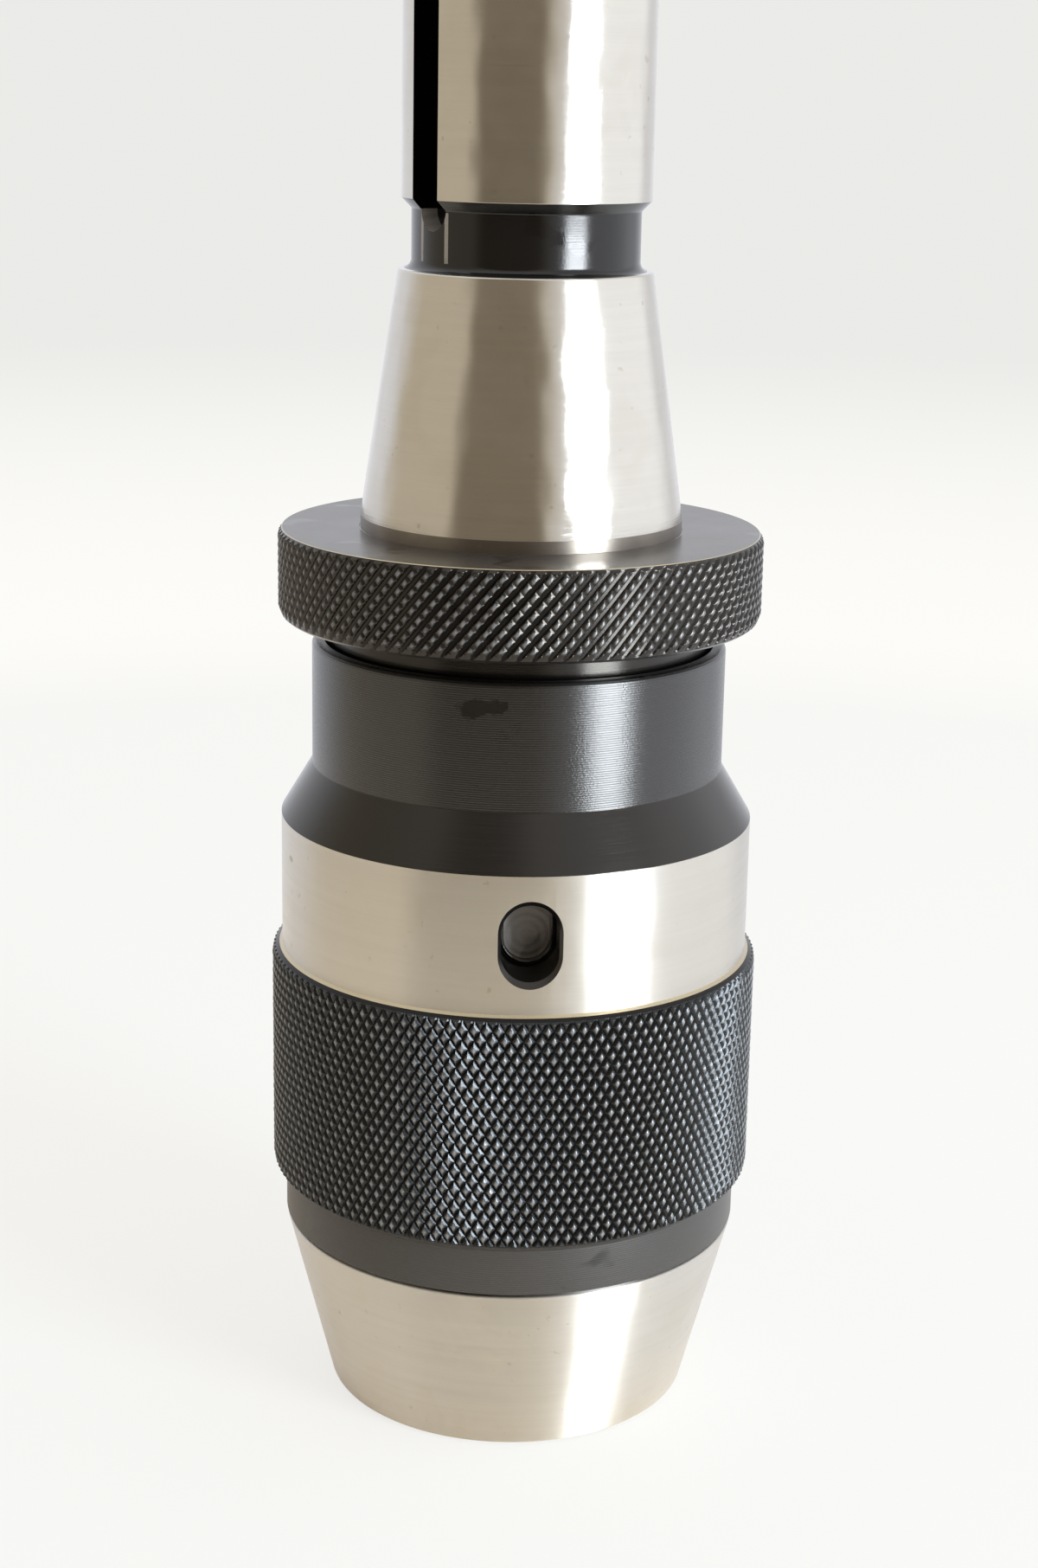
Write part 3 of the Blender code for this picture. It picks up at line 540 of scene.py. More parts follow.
def ground_steel(name, tint=STEEL, gloss=0.24, grain=0.75, wave=1.0, smear=1.0, seed=0.0, spots=()):
    """grain is how much further the gloss smears along the axis, wave how far reflections wander, and smear
    how much film and stain lie on it."""
    made, graph = new_finish(name)
    whole, place = shader_place(graph, seed)
    fine = stretched(graph, place, 0.10, 14.0, rough=0.7)
    wide = stretched(graph, place, 0.05, 1.6)
    swell = stretched(graph, place, 0.22, 0.13, detail=1.0)
    cloud = graph.noise(place, 0.16, swirl=0.4)
    film = graph.ease(cloud, 0.46, 0.68)
    specks = graph.ease(graph.noise(place, 0.9, 2.0), 0.69, 0.78)
    stains = graph.math("MAXIMUM", specks, drops(graph, whole, cloud, spots) * 2.0)
    tone = graph.blend(wide * 0.5 + fine * 0.35, tint, tuple(0.84 * value for value in tint))
    tone = graph.blend(film * 0.16 * smear, tone, OIL_FILM)
    tone = graph.blend(stains * 0.30 * smear, tone, STAIN)
    rough = gloss + (fine - 0.5) * 0.10 + (wide - 0.5) * 0.05 - film * 0.04 * smear + stains * 0.05
    lines = graph.add("ShaderNodeBump", Strength=0.3, Distance=0.02 * MM, Height=fine + wide * 0.6)
    bump = graph.add("ShaderNodeBump", Distance=0.11 * MM * wave, Height=swell, Normal=lines)
    values = {"Base_Color": tone, "Metallic": 1.0, "Roughness": rough, "Normal": bump}
    close_finish(graph, **values, Anisotropic=grain, Anisotropic_Rotation=ACROSS)
    return made


# %% [markdown]
# Black oxide is a thin dark skin on steel that is then oiled, so it mirrors like dark glass, with a faint
# brown or blue tint from one piece to the next. On the coarser surfaces the lines of the turning tool still
# show, and smear the gloss up and down; the crest of each line is painted lighter, a painted sheen. All of
# them have a fine grain. The oil lies in patches and in a few wet spots. Where hands or tools rub the crests
# of the knurling, it wears to a brighter grey, which is also a painted highlight on the studs' tips.

# %% Black oxide
LINE_PITCH = 0.22
MILL_PITCH = 0.8
# Grey of rubbed knurl crests, also a painted highlight on the studs' tips
RUBBED_AND_HIGHLIGHT_GREY = (0.24, 0.235, 0.235)
SMOKE = (1.0, 0.97, 0.95)
BROWN = (1.0, 0.91, 0.82)
BLUE = (0.90, 0.95, 1.0)


def ripple(graph, distance, pitch):
    """Wave from -1 to 1 that repeats at a pitch, both in millimetres."""
    return graph.math("SINE", distance * (2 * math.pi / pitch))


def black_oxide(
    name, tone, gloss, lines=0.0, grain=0.3, ior=1.5, pitting=0.4,
    crown=None, rings=None, spots=(), seed=0, tint=SMOKE,
):
    """lines and pitting are the heights of the tool's lines and of the fine grain; the lines' crests are
    also painted lighter, a painted sheen. crown gives the radii in millimetres between which rubbed tips
    turn from black to grey, which is partly a painted highlight, rings the height of the middle of an end
    mill's round marks, and tint the colour of its reflections."""
    made, graph = new_finish(name)
    whole, place = shader_place(graph, seed)
    x, y, z = graph.parts(whole)
    fine = stretched(graph, place, 0.12, 9.0, rough=0.7)
    film = graph.ease(graph.noise(place, 0.16, swirl=0.5), 0.62, 0.68)
    oil = drops(graph, whole, graph.noise(place, 0.45), spots)
    specks = graph.noise(place, 5.5)
    black, dim, dusty, bright = (
        tuple(share * value for value in (tone, 0.93 * tone, 0.87 * tone)) for share in (1.0, 0.35, 2.2, 3.0)
    )
    shade = graph.blend(fine * 0.5 + specks * 0.3, black, dusty)
    shade = graph.blend(film * 0.6, shade, dim)
    rough = gloss + (fine - 0.5) * 0.10 - film * 0.10 - oil * (0.7 * gloss)
    height = ((fine - 0.5) * 0.5 + (specks - 0.5) * pitting) * (1.0 - oil)
    metal = 0.0
    if lines:
        groove = ripple(graph, z, LINE_PITCH) * (1.0 - oil)
        height = height + groove * lines
        # Painted sheen: each tool line's crest is painted lighter
        shade = graph.blend((groove * 0.5 + 0.5) * (1.0 - film) * 0.45, shade, bright)
    if rings:
        reach = graph.length(graph.joined(x, 0.0, z - rings))
        height = height + ripple(graph, reach, MILL_PITCH) * 1.4
    # Rubbed tips turn grey and a little metallic; the grey is also a painted highlight
    if crown:
        radius = graph.length(graph.joined(x, y, 0.0))
        rubbed_and_lit = graph.ease(radius + (specks - 0.5) * 0.10, *crown)
        shade = graph.blend(rubbed_and_lit * 0.8, shade, RUBBED_AND_HIGHLIGHT_GREY)
        metal = rubbed_and_lit * 0.25
    bump = graph.add("ShaderNodeBump", Strength=0.5, Distance=0.03 * MM, Height=height)
    values = {"Base_Color": shade, "Metallic": metal, "Roughness": rough, "IOR": ior, "Normal": bump}
    close_finish(graph, **values, Specular_Tint=tint, Anisotropic=grain, Anisotropic_Rotation=ACROSS)
    return made


OIL_SMEAR = (-4.8, -20.3, 76.8, 1.05)
OIL_RUN = (13.8, -15.4, 66.7, 0.9)
BAND_MARK = (-22.6, -7.0, 58.4, 0.5)
# Painted light: the nose is a brighter copy of the ground steel, in place of more light from the floor that
# it mirrors
NOSE_TINT_WITH_PAINTED_LIGHT = (0.75, 0.715, 0.66)
LAND_TINT = (0.24, 0.21, 0.18)
# Golden tint of the thin edges: a painted warm reflection
GOLDEN_REFLECTION_TINT = (0.62, 0.53, 0.36)
# Radii where the knurls' crests turn grey: rubbed wear and painted highlight
RING_CROWN = (23.90, 24.07)
GRIP_CROWN = (24.66, 24.82)
steels = {
    "shank": dict(gloss=0.17, wave=1.7),
    "band": dict(gloss=0.34, grain=0.95, wave=0.5, seed=31.0, spots=[BAND_MARK]),
    # The nose's brighter tint is painted light
    "nose": dict(tint=NOSE_TINT_WITH_PAINTED_LIGHT, gloss=0.42, grain=1.0, wave=0.5, seed=57.0),
    "land": dict(tint=LAND_TINT, gloss=0.34, wave=0.3, seed=11.0),
    "ring_edge": dict(tint=GOLDEN_REFLECTION_TINT, gloss=0.30, wave=0.3, seed=43.0),
}
wet = [OIL_SMEAR, OIL_RUN]
blacks = {
    "groove": dict(tone=0.001, gloss=0.16),
    "collar": dict(tone=0.001, gloss=0.28, lines=0.5, grain=0.9, ior=1.72, pitting=1.2, spots=wet, seed=5),
    "cone": dict(tone=0.004, gloss=0.16, pitting=0.05, spots=[OIL_RUN], seed=9, tint=BROWN),
    "hub": dict(tone=0.001, gloss=0.18, seed=13, tint=BROWN),
    "ring_top": dict(tone=0.014, gloss=0.24, lines=0.1, ior=1.8, pitting=0.05, seed=17, tint=BROWN),
    "ring_knurl": dict(tone=0.004, gloss=0.21, grain=0.0, crown=RING_CROWN, seed=19, tint=BROWN),
    "grip_knurl": dict(tone=0.002, gloss=0.27, grain=0.0, ior=1.48, crown=GRIP_CROWN, seed=23, tint=BLUE),
    "grip_edge": dict(tone=0.003, gloss=0.24, ior=1.30, seed=37, tint=BROWN),
    "foot": dict(tone=0.020, gloss=0.42, lines=0.2, seed=29),
}
finish = {part: ground_steel(part + "_steel", **values) for part, values in steels.items()}
finish.update((part, black_oxide(part + "_black", **values)) for part, values in blacks.items())
print("finishes:", sorted(finish))

# %% [markdown]
# ## Knurling
# A knurl is rolled into the metal by two wheels with slanted teeth. What is left between the crossed
# grooves is rows of small raised studs, each row shifted by half a stud. A bump map could draw them, but a
# bump has no outline. So the tree makes one stud from a small grid, turned to stand on its corner, lays
# copies flat in rows, and bends that sheet round the chuck. Neighbours share their edges, so merging them
# gives one skin.
#
# Each of the two crossed grooves has its own profile, a power of the distance from the stud's middle, and
# the stud's height is the lower of the two. Shallow keeps the grooves that lean to the left from reaching
# full depth, and Groove gives those that lean to the right a flat floor. The faces are split along their
# longer diagonal, so that the sharp edges of the studs run along edges of the mesh.

# %% Knurl tree
UNEVEN = 0.30
STUD_NOISE = 620.0
STUD_WELD = 0.02 * MM


def knurl_tree():
    profile = ("Radius", "Depth", "Shallow", "Groove", "Steep", "Gentle")
    ends = ("Foot", "Top", "Foot Chamfer", "Foot Drop", "Top Chamfer", "Top Drop")
    graph, entry = new_tree("knurl", ("Columns", "Rows", "Fineness"), profile + ends)
    pitch = entry["Radius"] * (2 * math.pi) / entry["Columns"]
    spacing = (entry["Top"] - entry["Foot"]) / (entry["Rows"] - 1)

    # One stud: along goes up to the right, across goes up to the left, both from -1 to 1
    cell = graph.add("GeometryNodeMeshGrid", 2.0, 2.0, entry["Fineness"], entry["Fineness"])
    along, across, rise = graph.parts(graph.add("GeometryNodeInputPosition"))
    flank = graph.math("MINIMUM", graph.math("ABSOLUTE", across) / (1.0 - entry["Groove"]), 1.0)
    ridge = 1.0 - flank ** entry["Steep"]
    hump = 1.0 - graph.math("ABSOLUTE", along) ** entry["Gentle"] * (1.0 - entry["Shallow"])
    peak = graph.joined(along, across, graph.math("MINIMUM", ridge, hump))
    raised = graph.add("GeometryNodeSetPosition", Geometry=cell, Position=peak)
    longer = {"quad_method": "LONGEST_DIAGONAL"}
    split = graph.add("GeometryNodeTriangulate", settings=longer, Mesh=raised)
    skewed = graph.joined((along - across) * pitch * 0.25, (along + across) * spacing * 0.5, rise)
    stud = graph.add("GeometryNodeSetPosition", Geometry=split, Position=skewed)

    # Rows of studs, every second row shifted
    grid = graph.add("GeometryNodeMeshGrid", 1.0, 1.0, entry["Columns"], entry["Rows"])
    index = graph.add("GeometryNodeInputIndex")
    column = graph.math("FLOOR", (index + 0.5) / entry["Rows"])
    row = index - column * entry["Rows"]
    spots = graph.joined((column + (row % 2.0) * 0.5) * pitch, entry["Foot"] + row * spacing, 0.0)
    field = graph.add("GeometryNodeSetPosition", Geometry=grid, Position=spots)
    copies = graph.add("GeometryNodeInstanceOnPoints", Points=field, Instance=stud)
    sheet = graph.add("GeometryNodeRealizeInstances", Geometry=copies)

    # The flat sheet is trimmed to its height, cut back along both chamfers and bent round the axis
    u, v, w = graph.parts(graph.add("GeometryNodeInputPosition"))
    level = graph.math("MINIMUM", graph.math("MAXIMUM", v, entry["Foot"]), entry["Top"])
    below = 1.0 - (level - entry["Foot"]) / entry["Foot Chamfer"]
    above = 1.0 - (entry["Top"] - level) / entry["Top Chamfer"]
    below = graph.math("MAXIMUM", below, 0.0) * entry["Foot Drop"]
    above = graph.math("MAXIMUM", above, 0.0) * entry["Top Drop"]
    limit = entry["Radius"] - graph.math("MAXIMUM", below, above)
    angle = u / entry["Radius"]
    east, north = graph.math("COSINE", angle), graph.math("SINE", angle)
    spot = graph.joined(east * entry["Radius"], north * entry["Radius"], level)
    wobble = graph.noise(spot, STUD_NOISE, 1.0)
    pressed = entry["Depth"] * (w * (1.0 + UNEVEN / 2 - wobble * UNEVEN) - 1.0)
    radius = graph.math("MINIMUM", entry["Radius"] + pressed, limit)
    bent = graph.joined(radius * east, radius * north, level)
    skin = graph.add("GeometryNodeSetPosition", Geometry=sheet, Position=bent)
    welded = graph.add("GeometryNodeMergeByDistance", Geometry=skin, Distance=STUD_WELD)
    return close_tree(graph, entry, welded)


KNURL = knurl_tree()
print("knurl tree nodes:", len(KNURL.nodes))

# %% [markdown]
# The skin and the turned body below it are both open at the knurl's foot and top. The body's edge loop has
# one point for each column of studs and the skin's has several, so one wide face joins each edge of the
# body to the stretch of skin that it faces.

# %% Close the knurled skin
FULL_TURN = 2 * math.pi - 1e-5


def open_rims(shape, left_out=frozenset()):
    """The open edge loops at the foot and at the top, each in order round the axis."""
    verts = {vert for edge in shape.edges if len(edge.link_faces) == 1 for vert in edge.verts} - left_out
    heights = [vert.co.z for vert in verts]
    middle = (min(heights) + max(heights)) / 2
    # A point a hair short of a full turn is the first one, put there by rounding
    ordered = sorted(verts, key=lambda vert: math.atan2(vert.co.y, vert.co.x) % FULL_TURN)
    return [[vert for vert in ordered if (vert.co.z < middle) == low] for low in (True, False)]


def knurled(name, body_mesh, skin_mesh):
    """Joins an open turned body and the knurled skin that closes it into one mesh."""
    shape = bmesh.new()
    shape.from_mesh(skin_mesh)
    bmesh.ops.dissolve_degenerate(shape, edges=shape.edges, dist=WELD)
    skin_verts = set(shape.verts)
    skin_rims = open_rims(shape)
    shape.from_mesh(body_mesh)
    for skin_rim, body_rim in zip(skin_rims, open_rims(shape, skin_verts)):
        share = len(skin_rim) // len(body_rim)
        print(f"{name}: {len(skin_rim)} skin points meet {len(body_rim)} body points")
        for index, corner in enumerate(body_rim):
            after = body_rim[(index + 1) % len(body_rim)]
            stretch = [skin_rim[(index * share + step) % len(skin_rim)] for step in range(share, -1, -1)]
            shape.faces.new([corner, after, *stretch])
    return mesh_of(shape, name)


# %% [markdown]
# ## The hand ring
# A knurled flange on a smooth hub, pressed on the body. It is held still while the sleeve is turned. The
# knurl runs from edge to edge, with the deeper grooves leaning to the right and the shallower ones to the
# left. The turned edge above it is rubbed bare, and its golden tint is a painted warm reflection.

# %% Hand ring
ring_low, ring_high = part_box("knurled_ring")
RING_RADIUS = ring_high.x
RING_TOP = ring_high.z
RING_LENGTH = 8.75 * MM
RING_FLANGE = 4.92 * MM
RING_BORE = 16.0 * MM
RING_COLUMNS = 105
RING_ROWS = 11
RING_KNURL_DEPTH = 0.38 * MM
RING_FOOT_ROUND = 0.9 * MM
RING_FOOT_DROP = 0.35 * MM
RING_FOOT_LAND = 0.30 * MM
RING_TOP_CHAMFER = 0.4 * MM
RING_TOP_LAND = 0.12 * MM

hub_radius = RING_RADIUS - RING_FLANGE
print("ring radius, hub and bore:", [round(v / MM, 3) for v in (RING_RADIUS, hub_radius, RING_BORE)])
ring_foot = RING_TOP - RING_LENGTH
valley = RING_RADIUS - RING_KNURL_DEPTH
knurl_foot = ring_foot + RING_FOOT_LAND
ring_corners = [
    (valley, RING_TOP - RING_TOP_LAND / 2),
    (valley - 0.08 * MM, RING_TOP),
    (RING_BORE, RING_TOP),
    (RING_BORE, ring_low.z),
    (hub_radius, ring_low.z, EDGE),
    (hub_radius, ring_foot, 0.3 * MM),
    (valley - 0.35 * MM, ring_foot, 0.3 * MM),
    (valley - 0.04 * MM, knurl_foot - 0.05 * MM),
]
ring_body = turn("ring_body", ring_corners, finish["hub"], RING_COLUMNS, closed=False)
ring_skin = grow(
    "ring_skin",
    KNURL,
    finish["ring_knurl"],
    Columns=RING_COLUMNS,
    Rows=RING_ROWS,
    Radius=RING_RADIUS,
    Fineness=9,
    Depth=RING_KNURL_DEPTH,
    Shallow=0.45,
    Groove=0.25,
    Steep=2.2,
    Gentle=1.6,
    Foot=knurl_foot,
    Top=RING_TOP - RING_TOP_LAND,
    Foot_Chamfer=RING_FOOT_ROUND,
    Foot_Drop=RING_FOOT_DROP,
    Top_Chamfer=RING_TOP_CHAMFER,
    Top_Drop=RING_TOP_CHAMFER,
)
ring_mesh = tidy(knurled("hand_ring", ring_body, ring_skin))


def ring_rule(radius, height, face):
    if height > RING_TOP - 0.01 * MM:
        return "ring_top"
    # The ring's top edge: rubbed bare, with a golden tint that is a painted warm reflection
    if height > RING_TOP - 0.10 * MM and radius > hub_radius:
        return "ring_edge"
    return "ring_knurl" if radius > valley - 0.3 * MM else "hub"


paint(ring_mesh, ("hub", "ring_knurl", "ring_top", "ring_edge"), ring_rule)
place_piece("hand_ring", ring_mesh, "shank", "black_steel", "knurled_ring")

# %% [markdown]
# ## The sleeve
# One long turned piece, which the user turns by hand. From the top: a thin collar with the marks of the
# turning tool still in it, a smooth cone, a bright ground band with a blind slot for a hook spanner, the
# knurled grip and a plain foot. Where the grip's upper chamfer meets the band, a thin golden line is painted
# on it, a painted warm reflection. The blind slot is milled, so it is cut from the finished outside with a
# Boolean, as the mill did.

# %% Sleeve
sleeve_low, sleeve_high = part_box("outer_sleeve")
GRIP_RADIUS = sleeve_high.x
SLEEVE_FOOT = sleeve_low.z
SLEEVE_TOP = sleeve_high.z
COLLAR_LENGTH = 12.5 * MM
CONE_LENGTH = 5.2 * MM
BAND_LENGTH = 13.7 * MM
FOOT_BAND_LENGTH = 4.7 * MM
GRIP_FOOT_CHAMFER = 1.1 * MM
GRIP_TOP_CHAMFER = 0.75 * MM
GRIP_TOP_DROP = 1.8 * MM
# Share of the grip's upper chamfer that gets the painted golden reflection
GOLDEN_SHARE = 0.3
BAND_STEP = 1.04 * MM
FOOT_STEP = 1.35 * MM
COLLAR_STEP = 4.16 * MM
COLLAR_WALL = 1.26 * MM
COUNTERBORE_DEPTH = 4.35 * MM
GRIP_WALL = 4.22 * MM
FOOT_WALL = 1.37 * MM
BUSH_SEAT = 17.9 * MM
SLEEVE_BORE = 16.6 * MM
BUSH_SEAT_LENGTH = 12.6 * MM
SLEEVE_STEP = 24.3 * MM
GRIP_COLUMNS = 132
GRIP_ROWS = 25
GRIP_KNURL_DEPTH = 0.36 * MM
TUCK = 0.06 * MM

band_radius = GRIP_RADIUS - BAND_STEP
foot_radius = GRIP_RADIUS - FOOT_STEP
collar_radius = GRIP_RADIUS - COLLAR_STEP
cone_top = SLEEVE_TOP - COLLAR_LENGTH
band_top = cone_top - CONE_LENGTH
grip_top = band_top - BAND_LENGTH
golden_foot = grip_top - GOLDEN_SHARE * GRIP_TOP_CHAMFER
grip_foot = SLEEVE_FOOT + FOOT_BAND_LENGTH
sleeve_seat = grip_top + GRIP_TOP_DROP
counterbore = SLEEVE_TOP - COUNTERBORE_DEPTH
grip_valley = GRIP_RADIUS - GRIP_KNURL_DEPTH
lower_edge = grip_foot + GRIP_FOOT_CHAMFER * (1 - GRIP_KNURL_DEPTH / FOOT_STEP)
upper_edge = grip_top - GRIP_TOP_CHAMFER * (1 - GRIP_KNURL_DEPTH / BAND_STEP)
sleeve_corners = [
    (grip_valley - TUCK, upper_edge + TUCK),
    (band_radius + GOLDEN_SHARE * BAND_STEP, golden_foot),
    (band_radius, grip_top),
    (band_radius, band_top, EDGE),
    (collar_radius, cone_top, EDGE),
    (collar_radius, SLEEVE_TOP, 0.6 * MM),
    (collar_radius - COLLAR_WALL, SLEEVE_TOP, EDGE),
    (collar_radius - COLLAR_WALL, counterbore),
    (BUSH_SEAT, counterbore),
    (BUSH_SEAT, counterbore - BUSH_SEAT_LENGTH),
    (SLEEVE_BORE, counterbore - BUSH_SEAT_LENGTH),
    (SLEEVE_BORE, sleeve_seat),
    (GRIP_RADIUS - GRIP_WALL, sleeve_seat),
    (GRIP_RADIUS - GRIP_WALL, SLEEVE_STEP),
    (foot_radius - FOOT_WALL, SLEEVE_STEP),
    (foot_radius - FOOT_WALL, SLEEVE_FOOT),
    (foot_radius, SLEEVE_FOOT, EDGE),
    (foot_radius, grip_foot),
    (grip_valley - TUCK, lower_edge - TUCK),
]
sleeve_body = turn("sleeve_body", sleeve_corners, finish["cone"], GRIP_COLUMNS, closed=False)
grip_skin = grow(
    "grip_skin",
    KNURL,
    finish["grip_knurl"],
    Columns=GRIP_COLUMNS,
    Rows=GRIP_ROWS,
    Radius=GRIP_RADIUS,
    Fineness=6,
    Depth=GRIP_KNURL_DEPTH,
    Shallow=0.0,
    Groove=0.0,
    Steep=1.6,
    Gentle=1.6,
    Foot=lower_edge,
    Top=upper_edge,
    Foot_Chamfer=grip_foot + GRIP_FOOT_CHAMFER - lower_edge,
    Foot_Drop=GRIP_KNURL_DEPTH,
    Top_Chamfer=upper_edge - grip_top + GRIP_TOP_CHAMFER,
    Top_Drop=GRIP_KNURL_DEPTH,
)
sleeve_mesh = tidy(knurled("sleeve", sleeve_body, grip_skin))

# %% [markdown]
# The slot's cutter is an upright obround: two half circles joined by straight sides. It is rounded where it
# cuts the slot's floor, and it widens near the surface, which leaves a small chamfer round the mouth.

# %% Spanner slot
SLOT_WIDTH = 5.5 * MM
SLOT_HEIGHT = 7.6 * MM
SLOT_CHAMFER = 0.55 * MM
SLOT_FILLET = 0.55 * MM
SLOT_WALL = 1.2 * MM
SLOT_RISE = 1.3 * MM
SLOT_STEPS = 24
OVERRUN = 1.0 * MM
MARKS_BELOW_CENTRE = 0.8

slot_foot = sleeve_seat + SLOT_RISE
slot_centre = slot_foot + SLOT_HEIGHT / 2
slot_floor = SLEEVE_BORE + SLOT_WALL
slot_mouth = band_radius - SLOT_CHAMFER


def obround(half_width, foot, top, depth):
    """Points of an upright outline with round ends, at a distance in front of the axis."""
    points = []
    for end, middle in ((half_width, top - half_width), (-half_width, foot + half_width)):
        for step in range(SLOT_STEPS + 1):
            angle = math.pi * step / SLOT_STEPS
            points.append((end * math.cos(angle), -depth, middle + end * math.sin(angle)))
    return points


def slot_outline(widen, depth):
    """The slot's outline, widened all round."""
    return obround(SLOT_WIDTH / 2 + widen, slot_foot - widen, slot_foot + SLOT_HEIGHT + widen, depth)


def loft(name, sections):
    """Closed mesh through outlines of equal point count."""
    shape = bmesh.new()
    rings = [[shape.verts.new(point) for point in section] for section in sections]
    for lower, upper in zip(rings, rings[1:]):
        for index in range(len(lower)):
            after = (index + 1) % len(lower)
            shape.faces.new((lower[index], lower[after], upper[after], upper[index]))
    shape.faces.new(rings[0])
    shape.faces.new(rings[-1])
    bmesh.ops.recalc_face_normals(shape, faces=shape.faces)
    return mesh_of(shape, name)


def carve(mesh, cutter_mesh):
    """The mesh with the cutter's shape removed. Both are used up."""
    name = mesh.name
    whole = add_object("whole", mesh)
    cutter = add_object("cutter", cutter_mesh)
    step = whole.modifiers.new("cut", "BOOLEAN")
    step.operation = "DIFFERENCE"
    step.object = cutter
    result = plain_mesh(whole, name)
    bpy.data.objects.remove(cutter, do_unlink=True)
    bpy.data.meshes.remove(cutter_mesh)
    return result


slot_sections = []
for step in range(ARC_STEPS, -1, -1):
    angle = math.pi / 2 * step / ARC_STEPS
    inset, lift = SLOT_FILLET * (1 - math.cos(angle)), SLOT_FILLET * (1 - math.sin(angle))
    slot_sections.append(slot_outline(-inset, slot_floor + lift))
slot_sections.append(slot_outline(0.0, slot_mouth))
slot_sections.append(slot_outline(SLOT_CHAMFER + OVERRUN, band_radius + OVERRUN))
sleeve_mesh = tidy(carve(sleeve_mesh, loft("slot_cutter", slot_sections)))

# %% [markdown]
# The sleeve's surfaces are told apart by radius and height, with small offsets for faces that lie just on a
# border. The slot's floor shows the round marks of the end mill.

# %% Finish of the sleeve
marks = slot_centre / MM - MARKS_BELOW_CENTRE
finish["mill"] = black_oxide("mill_black", 0.21, 0.40, grain=0.0, rings=marks, seed=3)


def sleeve_rule(radius, height, face):
    in_slot = SLEEVE_BORE + 0.5 * MM < radius < band_radius - 0.03 * MM and sleeve_seat < height < band_top
    if in_slot and face.normal.y < -0.99:
        return "mill"
    if in_slot:
        return "cone" if radius > slot_mouth + 0.1 * MM else "hub"
    if height > cone_top + 0.1 * MM:
        return "collar"
    if height > band_top - 0.05 * MM:
        return "cone"
    # Painted reflection: a thin golden line at the top of the grip's chamfer
    if golden_foot < height < grip_top and radius < GRIP_RADIUS:
        return "ring_edge"
    if height > grip_top - 0.02 * MM:
        outward = Vector((face.center.x, face.center.y, 0.0)).normalized()
        return "band" if outward.dot(face.normal) > 0.3 else "cone"
    if height > upper_edge:
        return "grip_edge"
    return "grip_knurl" if height > lower_edge else "foot"


sleeve_parts = ("cone", "band", "collar", "grip_knurl", "foot", "mill", "hub", "grip_edge", "ring_edge")
paint(sleeve_mesh, sleeve_parts, sleeve_rule)
place_piece("sleeve", sleeve_mesh, "sleeve", "black_steel", "outer_sleeve")
print("slot centre at a height of", round(slot_centre / MM, 2), "mm")

# %% [markdown]
# ## The nose hood
# A ground cone that screws into the sleeve's foot and clamps the jaw guide. It is open at the nose, where
# the jaws are.

# %% Nose hood
hood_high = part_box("nose_hood")[1]
NOSE_LENGTH = 18.55 * MM
NOSE_HALF_ANGLE = math.radians(14.5)
LIP_THICKNESS = 2.5 * MM
SPIGOT_WALL = 1.5 * MM
SPIGOT_OUTER = 21.8 * MM
HOOD_BORE = 13.0 * MM
nose_radius = hood_high.x
hood_inner = SPIGOT_OUTER - SPIGOT_WALL
lean = math.tan(NOSE_HALF_ANGLE)
hood_corners = [
    (HOOD_BORE, 0.0, 0.3 * MM),
    (nose_radius - NOSE_LENGTH * lean, 0.0, 0.8 * MM),
    (nose_radius, NOSE_LENGTH, EDGE),
    (SPIGOT_OUTER, NOSE_LENGTH),
    (SPIGOT_OUTER, hood_high.z),
    (hood_inner, hood_high.z),
    (hood_inner, NOSE_LENGTH),
    (hood_inner - (NOSE_LENGTH - LIP_THICKNESS) * lean, LIP_THICKNESS),
    (HOOD_BORE, LIP_THICKNESS),
]
hood_mesh = tidy(turn("hood", hood_corners, finish["nose"]))
place_piece("hood", hood_mesh, "sleeve", "ground_steel", "nose_hood")

# %% [markdown]
# ## The shank
# One ground piece from the hidden bearing shoulder to the far end: a narrow unground land, the locating
# taper, a black groove that the grinding wheel never touched, and the straight shank with its keyway and
# the hole for the drawbar.

# %% Shank
shank_low, shank_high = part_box("shank_body")
GAUGE_RADIUS = 15.875 * MM
GAUGE_TO_END = 101.6 * MM
TAPER_HALF_ANGLE = math.radians(8.425)
TAPER_LENGTH = 23.8 * MM
SHANK_RADIUS = 12.05 * MM
GROOVE_LENGTH = 5.65 * MM
GROOVE_DEPTH = 1.0 * MM
GROOVE_SLOPE = 1.0 * MM
NECK_RADIUS = 16.0 * MM
CUP_WALL = 2.7 * MM
CUP_CHAMFER = 0.4 * MM
CUP_HEIGHT = 20.66 * MM
WEB_THICKNESS = 4.1 * MM
THREAD_BORE = 7.3 * MM
THREAD_BORE_TOP = 72.06 * MM
END_CHAMFER = 1.2 * MM
DRILL_POINT_ANGLE = math.radians(59.0)
DRAWBAR_RADIUS = 5.55 * MM
DRAWBAR_DEPTH = 38.0 * MM
DRAWBAR_CHAMFER = 0.7 * MM

